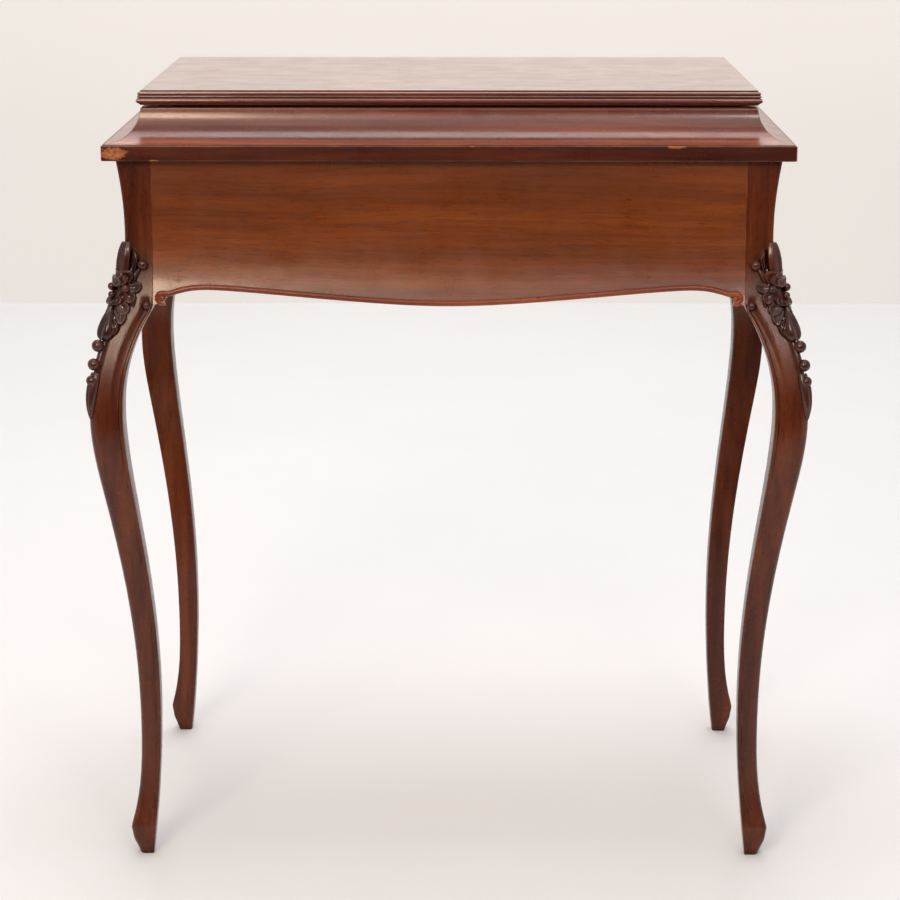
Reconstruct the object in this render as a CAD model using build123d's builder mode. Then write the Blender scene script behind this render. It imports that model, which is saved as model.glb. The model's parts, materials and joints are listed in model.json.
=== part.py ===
"""Work table with a hinged lid, a lift-out tray and four cabriole legs.

Millimetres. The origin is on the floor under the middle of the case, +Z is up, and the
front of the table faces -Y. The lid line is the rectangle of the lid's top face: every
moulding, apron and leg is drawn by how far it stands outside (+) or inside (-) that line.
"""
from build123d import *
import os
from dataclasses import dataclass

os.makedirs("parts", exist_ok=True)

# ---------------------------------------------------------------- driving dimensions
TABLE_HEIGHT = 720.0
LID_WIDTH = 556.0
LID_DEPTH = 364.0

LID_THICKNESS = 13.5
LID_GAP = 1.5               # air between the closed lid and the rim
LID_EDGE_WIDTH = 10.0       # flat part of the reeded edge strips

COVE_HEIGHT = 31.5
COVE_REACH = 31.0           # how far the foot of the cove stands out
RIM_WIDTH = 22.0            # flat rim round the well, measured in from the lid line
BAND_THICKNESS = 14.0
BAND_REACH = 33.0

CASE_DEPTH = 132.0          # top band to the lowest point of the aprons
STILE_INSET = 9.8           # the legs' flat joint faces, inside the lid line
APRON_INSET = 5.0           # the aprons' flat inner faces, inside the lid line
TENON_INSET = 3.0           # tenon cheek, outside the lid line
TENON_THICKNESS = 8.0
TENON_LENGTH = 12.0
TENON_SHOULDER = 20.0       # shoulder above and below each tenon
GLUE_CLEARANCE = 0.1

BEAD_HEIGHT = 6.5
BEAD_REACH = 2.6
PEARL_RADIUS = 4.2

PANEL_THICKNESS = 8.0
PANEL_RISE = 21.5           # underside of the bottom panel above the lowest apron edge
PANEL_GROOVE = 4.5          # depth of the groove that holds it
BLOCK_LENGTH = 50.0
BLOCK_WIDTH = 14.0
BLOCK_HEIGHT = 5.5

TRAY_HEIGHT = 42.0
TRAY_WALL = 7.0
TRAY_BOTTOM = 5.0
TRAY_CLEARANCE = 2.0        # all round, inside the rim
TRAY_DROP = 85.0            # underside of the tray below the rim
LEDGE_THICKNESS = 12.0
LEDGE_BEARING = 10.0        # how far the ledges reach under the tray
DIVIDER_THICKNESS = 4.0
LID_SEAT_DEPTH = 9.0        # rebate round the inside of the tray's top edge
LID_SEAT_WIDTH = 3.0
NOTCH_WIDTH = 56.0          # finger notch in each end of the tray
NOTCH_DEPTH = 8.0

BAY_WIDTH = 129.0           # left and right bays, measured inside the tray walls
BAY_SPLIT = 20.0            # bay divider, from the middle of the tray
PAD_WIDTH = 112.0
PAD_RISE = 3.0              # crown of the pincushion above the dividers' top edges
PAD_CLEARANCE = 0.5
SMALL_LID_THICKNESS = 4.0
SMALL_LID_CLEARANCE = 0.5
KNOB_RADIUS = 5.0
KNOB_HEIGHT = 8.0
KNOB_TENON_RADIUS = 2.0

HINGE_LENGTH = 50.0
HINGE_LEAF_WIDTH = 16.0
HINGE_LEAF_THICKNESS = 1.5
HINGE_KNUCKLE_RADIUS = 2.8
HINGE_PIN_RADIUS = 1.25
HINGE_PIN_CLEARANCE = 0.05
HINGE_SIDE_CLEARANCE = 0.2
HINGE_POSITION = 170.0      # middle of each hinge from the middle of the table
HINGE_TOP_GAP = 0.5         # between the two closed leaves
PIN_CAP_RADIUS = 2.2
PIN_CAP_HEIGHT = 1.2
SCREW_SPACING = 17.0
SCREW_SHANK_RADIUS = 1.2
SCREW_HEAD_RADIUS = 2.6
SCREW_LENGTH = 9.0
SCREWS_PER_LEAF = 3

# ---------------------------------------------------------------- worked-out levels
LID_UNDERSIDE = TABLE_HEIGHT - LID_THICKNESS
RIM_TOP = LID_UNDERSIDE - LID_GAP
BAND_TOP = RIM_TOP - COVE_HEIGHT
CASE_TOP = BAND_TOP - BAND_THICKNESS
APRON_LOW = CASE_TOP - CASE_DEPTH
PANEL_LOW = APRON_LOW + PANEL_RISE
TRAY_LOW = RIM_TOP - TRAY_DROP
TRAY_TOP = TRAY_LOW + TRAY_HEIGHT
SEAT_TOP = TRAY_TOP - LID_SEAT_DEPTH
HALF_X = LID_WIDTH / 2
HALF_Y = LID_DEPTH / 2
TRAY_HALF_X = HALF_X - RIM_WIDTH - TRAY_CLEARANCE
TRAY_HALF_Y = HALF_Y - RIM_WIDTH - TRAY_CLEARANCE
LEDGE_WIDTH = RIM_WIDTH + TRAY_CLEARANCE + LEDGE_BEARING - APRON_INSET


def free_height(share):
    """Height on the free leg, as a share of the way from the floor to the aprons."""
    return share * APRON_LOW


# Outer face of the legs: (reach outside the lid line, height). The aprons share its top.
LEG_OUTER = [
    (21.5, CASE_TOP),
    (15.4, CASE_TOP - 61.5),
    (18.0, CASE_TOP - 99.5),
    (27.0, CASE_TOP - 134.5),
    (46.0, free_height(0.863)),
    (48.0, free_height(0.806)),
    (37.5, free_height(0.664)),
    (23.5, free_height(0.514)),
    (14.5, free_height(0.364)),
    (11.9, free_height(0.228)),
    (15.8, free_height(0.106)),
    (22.0, free_height(0.054)),
]
TOE_UNDER = (20.2, free_height(0.030))
SOLE_OUTER = (14.5, 0.0)
# Inner face of the legs, from the bottom of the joint with the aprons to the floor.
LEG_INNER = [
    (-STILE_INSET, APRON_LOW - 2.5),
    (3.1, free_height(0.951)),
    (15.8, free_height(0.867)),
    (17.3, free_height(0.815)),
    (14.0, free_height(0.725)),
    (6.4, free_height(0.614)),
    (-5.8, free_height(0.390)),
    (-7.4, free_height(0.279)),
    (-5.8, free_height(0.167)),
    (1.7, 0.0),
]
# Carving on the knee: its own outer face, standing proud of the leg between two heights.
CARVING_OUTER = [
    (15.6, CASE_TOP - 74.0),
    (23.5, CASE_TOP - 99.5),
    (32.5, CASE_TOP - 134.5),
    (44.5, free_height(0.930)),
    (50.0, free_height(0.863)),
    (47.5, free_height(0.780)),
]
CARVING_WIDTH = 17.0
LEG_STOCK = 90.0            # half the width of the wood that a leg is sawn from


@dataclass(frozen=True)
class Side:
    """One side of the table: its outward direction and its reference half sizes."""

    name: str
    outward: tuple
    reach: float            # from the middle of the table to the lid line
    half_length: float      # half the lid line's length on this side

    def section_plane(self):
        """Plane across the side: x is the distance outside the lid line, y is the height."""
        out = Vector(*self.outward)
        return Plane(origin=out * self.reach, x_dir=out, z_dir=out.cross(Vector(0, 0, 1)))

    def elevation_plane(self):
        """Plane facing outward through the middle of the table: x is along, y is the height."""
        out = Vector(*self.outward)
        return Plane(origin=(0, 0, 0), x_dir=Vector(0, 0, 1).cross(out), z_dir=out)

    def plan(self, inner, outer, mitre=True, end_gap=0.0):
        """Corners, in plan, of a strip from inner to outer, mitred or cut square at its ends."""
        out = Vector(*self.outward)
        along = Vector(0, 0, 1).cross(out)
        if mitre:
            ends = (self.half_length + inner, self.half_length + outer)
        else:
            ends = (self.half_length - end_gap, self.half_length - end_gap)
        near = out * (self.reach + inner)
        far = out * (self.reach + outer)
        return [near - along * ends[0], near + along * ends[0],
                far + along * ends[1], far - along * ends[1]]


FRONT = Side("front", (0, -1, 0), HALF_Y, HALF_X)
BACK = Side("back", (0, 1, 0), HALF_Y, HALF_X)
LEFT = Side("left", (-1, 0, 0), HALF_X, HALF_Y)
RIGHT = Side("right", (1, 0, 0), HALF_X, HALF_Y)
SIDES = (FRONT, BACK, LEFT, RIGHT)
CORNERS = {
    "front_left": (-1, -1),
    "front_right": (1, -1),
    "back_left": (-1, 1),
    "back_right": (1, 1),
}


def finish(builder, name):
    """Label the finished piece and write it as a STEP file."""
    builder.part.label = name
    export_step(builder.part, f"parts/{name}.step")


# ---------------------------------------------------------------- lid
LID_FRONT_Y = -(HALF_Y - LID_EDGE_WIDTH)
LID_SIDE_X = HALF_X - LID_EDGE_WIDTH
HINGE_Y = HALF_Y + HINGE_KNUCKLE_RADIUS + HINGE_SIDE_CLEARANCE
HINGE_Z = RIM_TOP + LID_GAP / 2
LEAF_FRONT_Y = HALF_Y - HINGE_LEAF_WIDTH
LID_LEAF_LOW = HINGE_Z + HINGE_TOP_GAP / 2
CASE_LEAF_TOP = HINGE_Z - HINGE_TOP_GAP / 2
SCREW_Y = HALF_Y - HINGE_LEAF_WIDTH / 2


def screw_places(middle):
    """Places of one leaf's screws along its length."""
    first = middle - SCREW_SPACING * (SCREWS_PER_LEAF - 1) / 2
    return [(first + SCREW_SPACING * step, SCREW_Y) for step in range(SCREWS_PER_LEAF)]


def hinge_middles():
    """Places of the two hinges along the back edge."""
    return (-HINGE_POSITION, HINGE_POSITION)


def make_lid_board():
    """The flat board, let into its edge strips in front and at both ends."""
    with BuildPart() as board:
        with BuildSketch(Plane.XY.offset(LID_UNDERSIDE)):
            with Locations((0, (LID_FRONT_Y + HALF_Y) / 2)):
                Rectangle(2 * LID_SIDE_X, HALF_Y - LID_FRONT_Y)
        extrude(amount=LID_THICKNESS)
        for middle in hinge_middles():
            with BuildSketch(Plane.XY.offset(LID_UNDERSIDE)):
                with Locations((middle, (LEAF_FRONT_Y + HALF_Y) / 2)):
                    Rectangle(HINGE_LENGTH, HINGE_LEAF_WIDTH)
            extrude(amount=LID_LEAF_LOW + HINGE_LEAF_THICKNESS - LID_UNDERSIDE, mode=Mode.SUBTRACT)
            with BuildSketch(Plane.XY.offset(LID_UNDERSIDE)):
                with Locations(*screw_places(middle)):
                    Circle(SCREW_SHANK_RADIUS)
            extrude(amount=LID_LEAF_LOW + SCREW_LENGTH - LID_UNDERSIDE, mode=Mode.SUBTRACT)
    finish(board, "lid_board")


def reeded_edge_section():
    """Section of the lid's edge: a small step, two reeds, then a bead that rolls under."""
    top = TABLE_HEIGHT
    low = LID_UNDERSIDE
    bead = low + 4.2
    with BuildSketch() as section:
        with BuildLine():
            Polyline((1.0, top - 1.6), (0, top - 1.6), (0, top), (-LID_EDGE_WIDTH, top),
                     (-LID_EDGE_WIDTH, low), (0, low), (2.2, low + 2.0))
            ThreePointArc((2.2, low + 2.0), (4.0, bead), (2.2, bead + 2.2))
            Polyline((2.2, bead + 2.2), (1.7, bead + 2.4), (1.7, bead + 2.7))
            ThreePointArc((1.7, bead + 2.7), (2.9, bead + 3.75), (1.7, bead + 4.8))
            Line((1.7, bead + 4.8), (1.2, bead + 5.1))
            ThreePointArc((1.2, bead + 5.1), (2.6, top - 2.9), (1.0, top - 1.6))
        make_face()
    return section.sketch


def lid_edge_plan(side):
    """Plan of one edge strip: mitred at the front corners, square at the back."""
    if side is FRONT:
        return side.plan(-LID_EDGE_WIDTH, BAND_REACH)
    inner = side.outward[0] * LID_SIDE_X
    outer = side.outward[0] * (HALF_X + BAND_REACH)
    return [(inner, LID_FRONT_Y), (outer, -HALF_Y - BAND_REACH), (outer, HALF_Y), (inner, HALF_Y)]


def make_lid_edge(side):
    """One reeded edge strip of the lid."""
    section = reeded_edge_section()
    with BuildPart() as strip:
        with BuildSketch(side.section_plane()):
            add(section)
        extrude(amount=side.half_length + BAND_REACH, both=True)
        with BuildSketch(Plane.XY):
            Polygon(*lid_edge_plan(side), align=None)
        extrude(amount=TABLE_HEIGHT, mode=Mode.INTERSECT)
    finish(strip, f"lid_edge_{side.name}")


# ---------------------------------------------------------------- top frame
def cove_section():
    """Section of the cove: a concave quarter under a narrow eased rim."""
    with BuildSketch() as section:
        with BuildLine():
            Polyline((0.4, RIM_TOP - 1.5), (-1.1, RIM_TOP), (-RIM_WIDTH, RIM_TOP),
                     (-RIM_WIDTH, BAND_TOP), (COVE_REACH, BAND_TOP), (COVE_REACH, BAND_TOP + 0.6))
            ThreePointArc((COVE_REACH, BAND_TOP + 0.6),
                          (0.31 * COVE_REACH, BAND_TOP + 0.29 * COVE_HEIGHT),
                          (0.4, RIM_TOP - 1.5))
        make_face()
    return section.sketch


def make_cove(side):
    """One mitred cove moulding; the back one has the hinge leaves let into its rim."""
    section = cove_section()
    with BuildPart() as cove:
        with BuildSketch(side.section_plane()):
            add(section)
        extrude(amount=side.half_length + BAND_REACH, both=True)
        with BuildSketch(Plane.XY):
            Polygon(*side.plan(-RIM_WIDTH, BAND_REACH), align=None)
        extrude(amount=TABLE_HEIGHT, mode=Mode.INTERSECT)
        if side is BACK:
            for middle in hinge_middles():
                with BuildSketch(Plane.XY.offset(RIM_TOP)):
                    with Locations((middle, (LEAF_FRONT_Y + HALF_Y) / 2)):
                        Rectangle(HINGE_LENGTH, HINGE_LEAF_WIDTH)
                extrude(amount=CASE_LEAF_TOP - HINGE_LEAF_THICKNESS - RIM_TOP, mode=Mode.SUBTRACT)
                with BuildSketch(Plane.XY.offset(RIM_TOP)):
                    with Locations(*screw_places(middle)):
                        Circle(SCREW_SHANK_RADIUS)
                extrude(amount=CASE_LEAF_TOP - SCREW_LENGTH - RIM_TOP, mode=Mode.SUBTRACT)
    finish(cove, f"cove_{side.name}")


def make_band(side):
    """One mitred strip of the square overhanging band under the cove."""
    with BuildPart() as band:
        with BuildSketch(Plane.XY.offset(CASE_TOP)):
            Polygon(*side.plan(-RIM_WIDTH, BAND_REACH), align=None)
        extrude(amount=BAND_THICKNESS)
    finish(band, f"top_band_{side.name}")


# ---------------------------------------------------------------- aprons
def joint_half(side):
    """Distance along the apron from its middle to its joint with a leg."""
    return side.half_length - STILE_INSET


def lower_edge(side):
    """Points of the apron's serpentine lower edge, left to right."""
    half = joint_half(side)
    middle_run = half - 53.0
    right = [(0.37 * middle_run, APRON_LOW + 3.5), (0.70 * middle_run, APRON_LOW + 9.3),
             (half - 53.0, APRON_LOW + 14.2), (half - 18.0, APRON_LOW + 10.2),
             (half - 6.0, APRON_LOW + 3.0), (half, APRON_LOW)]
    left = [(-along, height) for along, height in reversed(right)]
    return left + [(0, APRON_LOW)] + right


def tenon_run(side, clearance):
    """Bar through an apron from tenon end to tenon end; with clearance it cuts the mortises."""
    low = APRON_LOW + TENON_SHOULDER - clearance
    high = CASE_TOP - TENON_SHOULDER + clearance
    plan = side.plan(TENON_INSET - clearance, TENON_INSET + TENON_THICKNESS + clearance,
                     mitre=False, end_gap=STILE_INSET - TENON_LENGTH - clearance)
    with BuildPart() as run:
        with BuildSketch(Plane.XY.offset(low)):
            Polygon(*plan, align=None)
        extrude(amount=high - low)
    return run.part


def make_apron(side):
    """An apron board: concave outside, flat inside, grooved for the bottom panel."""
    half = joint_half(side)
    tenons = tenon_run(side, 0.0)
    with BuildPart() as apron:
        with BuildSketch(side.section_plane()):
            with BuildLine():
                Spline(*LEG_OUTER)
                Polyline(LEG_OUTER[-1], (-APRON_INSET, LEG_OUTER[-1][1]),
                         (-APRON_INSET, CASE_TOP), LEG_OUTER[0])
            make_face()
        extrude(amount=half, both=True)
        with BuildSketch(side.elevation_plane()):
            with BuildLine():
                Spline(*lower_edge(side))
                Polyline((half, APRON_LOW), (half, CASE_TOP), (-half, CASE_TOP), (-half, APRON_LOW))
            make_face()
        extrude(amount=side.reach + CARVING_OUTER[-2][0], mode=Mode.INTERSECT)
        groove = side.plan(-APRON_INSET, PANEL_GROOVE - APRON_INSET, mitre=False,
                           end_gap=STILE_INSET)
        with BuildSketch(Plane.XY.offset(PANEL_LOW)):
            Polygon(*groove, align=None)
        extrude(amount=PANEL_THICKNESS, mode=Mode.SUBTRACT)
        add(tenons)
    finish(apron, f"apron_{side.name}")


def make_bead(side):
    """The raised bead on an apron's lower edge, with a pearl at each end."""
    half = joint_half(side)
    edge = lower_edge(side)
    raised = [(along, height + BEAD_HEIGHT) for along, height in edge]
    proud = [(reach + BEAD_REACH, height) for reach, height in LEG_OUTER]
    with BuildPart() as bead:
        with BuildSketch(side.section_plane()):
            with BuildLine():
                Spline(*LEG_OUTER)
                Line(LEG_OUTER[-1], proud[-1])
                Spline(*proud)
                Line(proud[0], LEG_OUTER[0])
            make_face()
        extrude(amount=half, both=True)
        with BuildSketch(side.elevation_plane()):
            with BuildLine():
                Spline(*edge)
                Line(edge[-1], raised[-1])
                Spline(*raised)
                Line(raised[0], edge[0])
            make_face()
            with Locations((0, APRON_LOW)):
                Rectangle(2 * (half - 1.5 * PEARL_RADIUS), CASE_DEPTH, mode=Mode.INTERSECT)
            with Locations((half - 1.5 * PEARL_RADIUS, APRON_LOW + PEARL_RADIUS + 2.0),
                           (1.5 * PEARL_RADIUS - half, APRON_LOW + PEARL_RADIUS + 2.0)):
                Circle(PEARL_RADIUS)
        extrude(amount=side.reach + CARVING_OUTER[-2][0] + BEAD_REACH, mode=Mode.INTERSECT)
    finish(bead, f"apron_bead_{side.name}")


# ---------------------------------------------------------------- legs
def leg_side_view():
    """Side view of a leg, from the band to the floor."""
    with BuildSketch() as view:
        with BuildLine():
            Spline(*LEG_OUTER)
            Polyline(LEG_OUTER[-1], TOE_UNDER, SOLE_OUTER, LEG_INNER[-1])
            Spline(*LEG_INNER)
            Polyline(LEG_INNER[0], (-STILE_INSET, CASE_TOP), LEG_OUTER[0])
        make_face()
    return view.sketch


def carving_side_view():
    """Side view of the carved mass on the knee."""
    inside = [(reach - CARVING_WIDTH, height) for reach, height in CARVING_OUTER]
    with BuildSketch() as view:
        with BuildLine():
            Spline(*CARVING_OUTER)
            Line(CARVING_OUTER[-1], inside[-1])
            Spline(*inside)
            Line(inside[0], CARVING_OUTER[0])
        make_face()
    return view.sketch


def make_leg(name, sign_x, sign_y):
    """A cabriole leg sawn to one profile from two sides, with mortises for two aprons."""
    end_side = LEFT if sign_x < 0 else RIGHT
    face_side = FRONT if sign_y < 0 else BACK
    corner_point = Vector(sign_x * HALF_X, sign_y * HALF_Y, 0)
    planes = []
    for side in (end_side, face_side):
        plane = side.section_plane()
        planes.append(plane.offset(corner_point.dot(plane.z_dir) - LEG_STOCK))
    leg_view = leg_side_view()
    carving_view = carving_side_view()
    mortises = [tenon_run(side, GLUE_CLEARANCE) for side in (end_side, face_side)]
    with BuildPart() as carving:
        with BuildSketch(planes[0]):
            add(carving_view)
        extrude(amount=2 * LEG_STOCK)
        with BuildSketch(planes[1]):
            add(carving_view)
        extrude(amount=2 * LEG_STOCK, mode=Mode.INTERSECT)
    with BuildPart() as leg:
        with BuildSketch(planes[0]):
            add(leg_view)
        extrude(amount=2 * LEG_STOCK)
        with BuildSketch(planes[1]):
            add(leg_view)
        extrude(amount=2 * LEG_STOCK, mode=Mode.INTERSECT)
        add(carving.part)
        for mortise in mortises:
            add(mortise, mode=Mode.SUBTRACT)
    finish(leg, f"leg_{name}")


# ---------------------------------------------------------------- inside the case
def make_bottom_panel():
    """The case bottom, in the aprons' grooves and notched round the legs."""
    inset = APRON_INSET - PANEL_GROOVE + GLUE_CLEARANCE
    notch = STILE_INSET + GLUE_CLEARANCE - inset
    with BuildPart() as panel:
        with BuildSketch(Plane.XY.offset(PANEL_LOW)):
            Rectangle(2 * (HALF_X - inset), 2 * (HALF_Y - inset))
            with GridLocations(2 * (HALF_X - inset) - notch, 2 * (HALF_Y - inset) - notch, 2, 2):
                Rectangle(notch, notch, mode=Mode.SUBTRACT)
        extrude(amount=PANEL_THICKNESS)
    finish(panel, "bottom_panel")


def make_glue_blocks():
    """Small triangular blocks glued in the corner under the panel, three or two to a side."""
    with BuildPart() as blocks:
        for side in SIDES:
            places = (-0.6, 0.0, 0.6) if side.half_length == HALF_X else (-0.45, 0.45)
            for place in places:
                middle = place * side.half_length - BLOCK_LENGTH / 2
                with BuildSketch(side.section_plane().offset(middle)):
                    Polygon((-APRON_INSET, PANEL_LOW), (-APRON_INSET - BLOCK_WIDTH, PANEL_LOW),
                            (-APRON_INSET, PANEL_LOW - BLOCK_HEIGHT), align=None)
                extrude(amount=BLOCK_LENGTH)
    finish(blocks, "glue_blocks")


def make_ledge(side):
    """One of the ledges that carry the tray."""
    if side.half_length == HALF_X:
        end_gap = STILE_INSET + GLUE_CLEARANCE
    else:
        end_gap = APRON_INSET + LEDGE_WIDTH
    plan = side.plan(-APRON_INSET - LEDGE_WIDTH, -APRON_INSET, mitre=False, end_gap=end_gap)
    with BuildPart() as ledge:
        with BuildSketch(Plane.XY.offset(TRAY_LOW - LEDGE_THICKNESS)):
            Polygon(*plan, align=None)
        extrude(amount=LEDGE_THICKNESS)
    finish(ledge, f"tray_ledge_{side.name}")


# ---------------------------------------------------------------- tray
TRAY_INNER_X = TRAY_HALF_X - TRAY_WALL
TRAY_INNER_Y = TRAY_HALF_Y - TRAY_WALL
TRAY_FLOOR = TRAY_LOW + TRAY_BOTTOM
SEAT_X = TRAY_INNER_X + LID_SEAT_WIDTH
SEAT_Y = TRAY_INNER_Y + LID_SEAT_WIDTH
CROSS_X = TRAY_INNER_X - BAY_WIDTH - DIVIDER_THICKNESS / 2


def block(low, high, mode=Mode.ADD):
    """A plain rectangular block between two corners, added to the open part."""
    middle = tuple((a + b) / 2 for a, b in zip(low, high))
    with Locations(middle):
        Box(*[b - a for a, b in zip(low, high)], mode=mode)


def make_tray_bottom():
    """The tray's bottom board, between its four walls."""
    with BuildPart() as board:
        block((-TRAY_INNER_X, -TRAY_INNER_Y, TRAY_LOW), (TRAY_INNER_X, TRAY_INNER_Y, TRAY_FLOOR))
    finish(board, "tray_bottom")


def make_tray_long_wall(name, sign):
    """Front or back wall of the tray, over the ends of the short walls."""
    with BuildPart() as wall:
        near, far = sorted((sign * TRAY_INNER_Y, sign * TRAY_HALF_Y))
        block((-TRAY_HALF_X, near, TRAY_LOW), (TRAY_HALF_X, far, TRAY_TOP))
        near, far = sorted((sign * TRAY_INNER_Y, sign * SEAT_Y))
        block((-SEAT_X, near, SEAT_TOP), (SEAT_X, far, TRAY_TOP), mode=Mode.SUBTRACT)
    finish(wall, f"tray_{name}")


def make_tray_short_wall(name, sign):
    """Left or right wall of the tray, with a notch for the fingers in its top edge."""
    with BuildPart() as wall:
        near, far = sorted((sign * TRAY_INNER_X, sign * TRAY_HALF_X))
        block((near, -TRAY_INNER_Y, TRAY_LOW), (far, TRAY_INNER_Y, TRAY_TOP))
        near, far = sorted((sign * TRAY_INNER_X, sign * SEAT_X))
        block((near, -TRAY_INNER_Y, SEAT_TOP), (far, TRAY_INNER_Y, TRAY_TOP), mode=Mode.SUBTRACT)
        with BuildSketch(Plane.YZ):
            with Locations((0, TRAY_TOP)):
                Ellipse(NOTCH_WIDTH / 2, NOTCH_DEPTH)
        extrude(amount=TRAY_HALF_X, both=True, mode=Mode.SUBTRACT)
    finish(wall, f"tray_{name}")


def make_divider(name, low, high):
    """A thin divider standing on the tray's bottom board, given by its plan corners."""
    with BuildPart() as divider:
        block((*low, TRAY_FLOOR), (*high, SEAT_TOP))
    finish(divider, f"tray_divider_{name}")


def make_dividers():
    """Two cross dividers, a split for each of the three bays, and two beside the pincushion."""
    half = DIVIDER_THICKNESS / 2
    for name, sign in (("left", -1), ("right", 1)):
        make_divider(name, (sign * CROSS_X - half, -TRAY_INNER_Y), (sign * CROSS_X + half, TRAY_INNER_Y))
        near, far = sorted((sign * (CROSS_X + half), sign * TRAY_INNER_X))
        make_divider(f"{name}_bay", (near, BAY_SPLIT - half), (far, BAY_SPLIT + half))
        beside = sign * (PAD_WIDTH / 2 + half)
        make_divider(f"pad_{name}", (beside - half, BAY_SPLIT + half), (beside + half, TRAY_INNER_Y))
    make_divider("middle", (half - CROSS_X, BAY_SPLIT - half), (CROSS_X - half, BAY_SPLIT + half))


def make_pincushion():
    """The stuffed pad between its dividers, a little crowned over them."""
    with BuildPart() as pad:
        half = PAD_WIDTH / 2 - PAD_CLEARANCE
        front = BAY_SPLIT + DIVIDER_THICKNESS / 2 + PAD_CLEARANCE
        block((-half, front, TRAY_FLOOR), (half, TRAY_INNER_Y - PAD_CLEARANCE, SEAT_TOP + PAD_RISE))
        fillet(pad.edges().group_by(Axis.Z)[-1], radius=2.5 * PAD_RISE)
    finish(pad, "pincushion")


def small_lid_middle(sign):
    """Middle of a compartment lid in plan."""
    return (sign * (CROSS_X + SEAT_X) / 2, (BAY_SPLIT + SEAT_Y) / 2)


def make_small_lid(name, sign):
    """Thin lid of a back compartment, lying in the tray's rebate, bored for its knob."""
    gap = SMALL_LID_CLEARANCE
    with BuildPart() as lid:
        near, far = sorted((sign * (CROSS_X + gap), sign * (SEAT_X - gap)))
        block((near, BAY_SPLIT + gap, SEAT_TOP), (far, SEAT_Y - gap, SEAT_TOP + SMALL_LID_THICKNESS))
        with BuildSketch(Plane.XY.offset(SEAT_TOP)):
            with Locations(small_lid_middle(sign)):
                Circle(KNOB_TENON_RADIUS)
        extrude(amount=SMALL_LID_THICKNESS, mode=Mode.SUBTRACT)
    finish(lid, f"compartment_lid_{name}")


def make_knob(name, sign):
    """Small turned knob: a tenon, a neck and a domed head."""
    along, across = small_lid_middle(sign)
    base = SMALL_LID_THICKNESS
    dome = base + KNOB_HEIGHT - KNOB_RADIUS
    with BuildPart() as knob:
        with BuildSketch(Plane(origin=(along, across, SEAT_TOP), x_dir=(1, 0, 0), z_dir=(0, -1, 0))):
            with BuildLine():
                Polyline((0, base + KNOB_HEIGHT), (0, 0), (KNOB_TENON_RADIUS, 0),
                         (KNOB_TENON_RADIUS, base), (0.7 * KNOB_RADIUS, base),
                         (0.45 * KNOB_RADIUS, base + 0.2 * KNOB_HEIGHT), (KNOB_RADIUS, dome))
                CenterArc((0, dome), KNOB_RADIUS, 0, 90)
            make_face()
        revolve(axis=Axis((along, across, 0), (0, 0, 1)))
    finish(knob, f"compartment_knob_{name}")


# ---------------------------------------------------------------- hinges
KNUCKLE_LENGTH = HINGE_LENGTH / 3


def make_leaf(name, middle, leaf_low, knuckle_steps, screw_face, screw_up):
    """One leaf of a butt hinge: plate, knuckles, pin bore and countersunk screw holes."""
    knuckle = KNUCKLE_LENGTH - HINGE_SIDE_CLEARANCE
    with BuildPart() as leaf:
        block((middle - HINGE_LENGTH / 2, LEAF_FRONT_Y, leaf_low),
              (middle + HINGE_LENGTH / 2, HALF_Y, leaf_low + HINGE_LEAF_THICKNESS))
        for step in knuckle_steps:
            centre = middle + step * KNUCKLE_LENGTH
            block((centre - knuckle / 2, HALF_Y, leaf_low),
                  (centre + knuckle / 2, HINGE_Y, leaf_low + HINGE_LEAF_THICKNESS))
            with BuildSketch(Plane.YZ.offset(centre - knuckle / 2)):
                with Locations((HINGE_Y, HINGE_Z)):
                    Circle(HINGE_KNUCKLE_RADIUS)
            extrude(amount=knuckle)
        with BuildSketch(Plane.YZ.offset(middle - HINGE_LENGTH)):
            with Locations((HINGE_Y, HINGE_Z)):
                Circle(HINGE_PIN_RADIUS + HINGE_PIN_CLEARANCE)
        extrude(amount=2 * HINGE_LENGTH, mode=Mode.SUBTRACT)
        for along, across in screw_places(middle):
            with Locations(Plane(origin=(along, across, screw_face), z_dir=(0, 0, screw_up))):
                CounterSinkHole(SCREW_SHANK_RADIUS, SCREW_HEAD_RADIUS, counter_sink_angle=90)
    finish(leaf, name)


def make_pin(name, middle):
    """The hinge pin, with a small cap over each end of the barrel."""
    barrel = HINGE_LENGTH - HINGE_SIDE_CLEARANCE
    with BuildPart() as pin:
        with BuildSketch(Plane.YZ.offset(middle - barrel / 2)):
            with Locations((HINGE_Y, HINGE_Z)):
                Circle(HINGE_PIN_RADIUS)
        extrude(amount=barrel)
        for start in (middle - barrel / 2 - PIN_CAP_HEIGHT, middle + barrel / 2):
            with BuildSketch(Plane.YZ.offset(start)):
                with Locations((HINGE_Y, HINGE_Z)):
                    Circle(PIN_CAP_RADIUS)
            extrude(amount=PIN_CAP_HEIGHT)
    finish(pin, name)


def make_screws(name, face, up):
    """All the countersunk screws that hold one kind of leaf."""
    taper = SCREW_HEAD_RADIUS - SCREW_SHANK_RADIUS
    with BuildPart() as screws:
        for middle in hinge_middles():
            for along, across in screw_places(middle):
                with BuildSketch(Plane(origin=(along, across, face), x_dir=(1, 0, 0), z_dir=(0, -1, 0))):
                    Polygon((0, 0), (SCREW_HEAD_RADIUS, 0), (SCREW_SHANK_RADIUS, -up * taper),
                            (SCREW_SHANK_RADIUS, -up * SCREW_LENGTH), (0, -up * SCREW_LENGTH), align=None)
                revolve(axis=Axis((along, across, 0), (0, 0, 1)))
    finish(screws, name)


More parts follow.
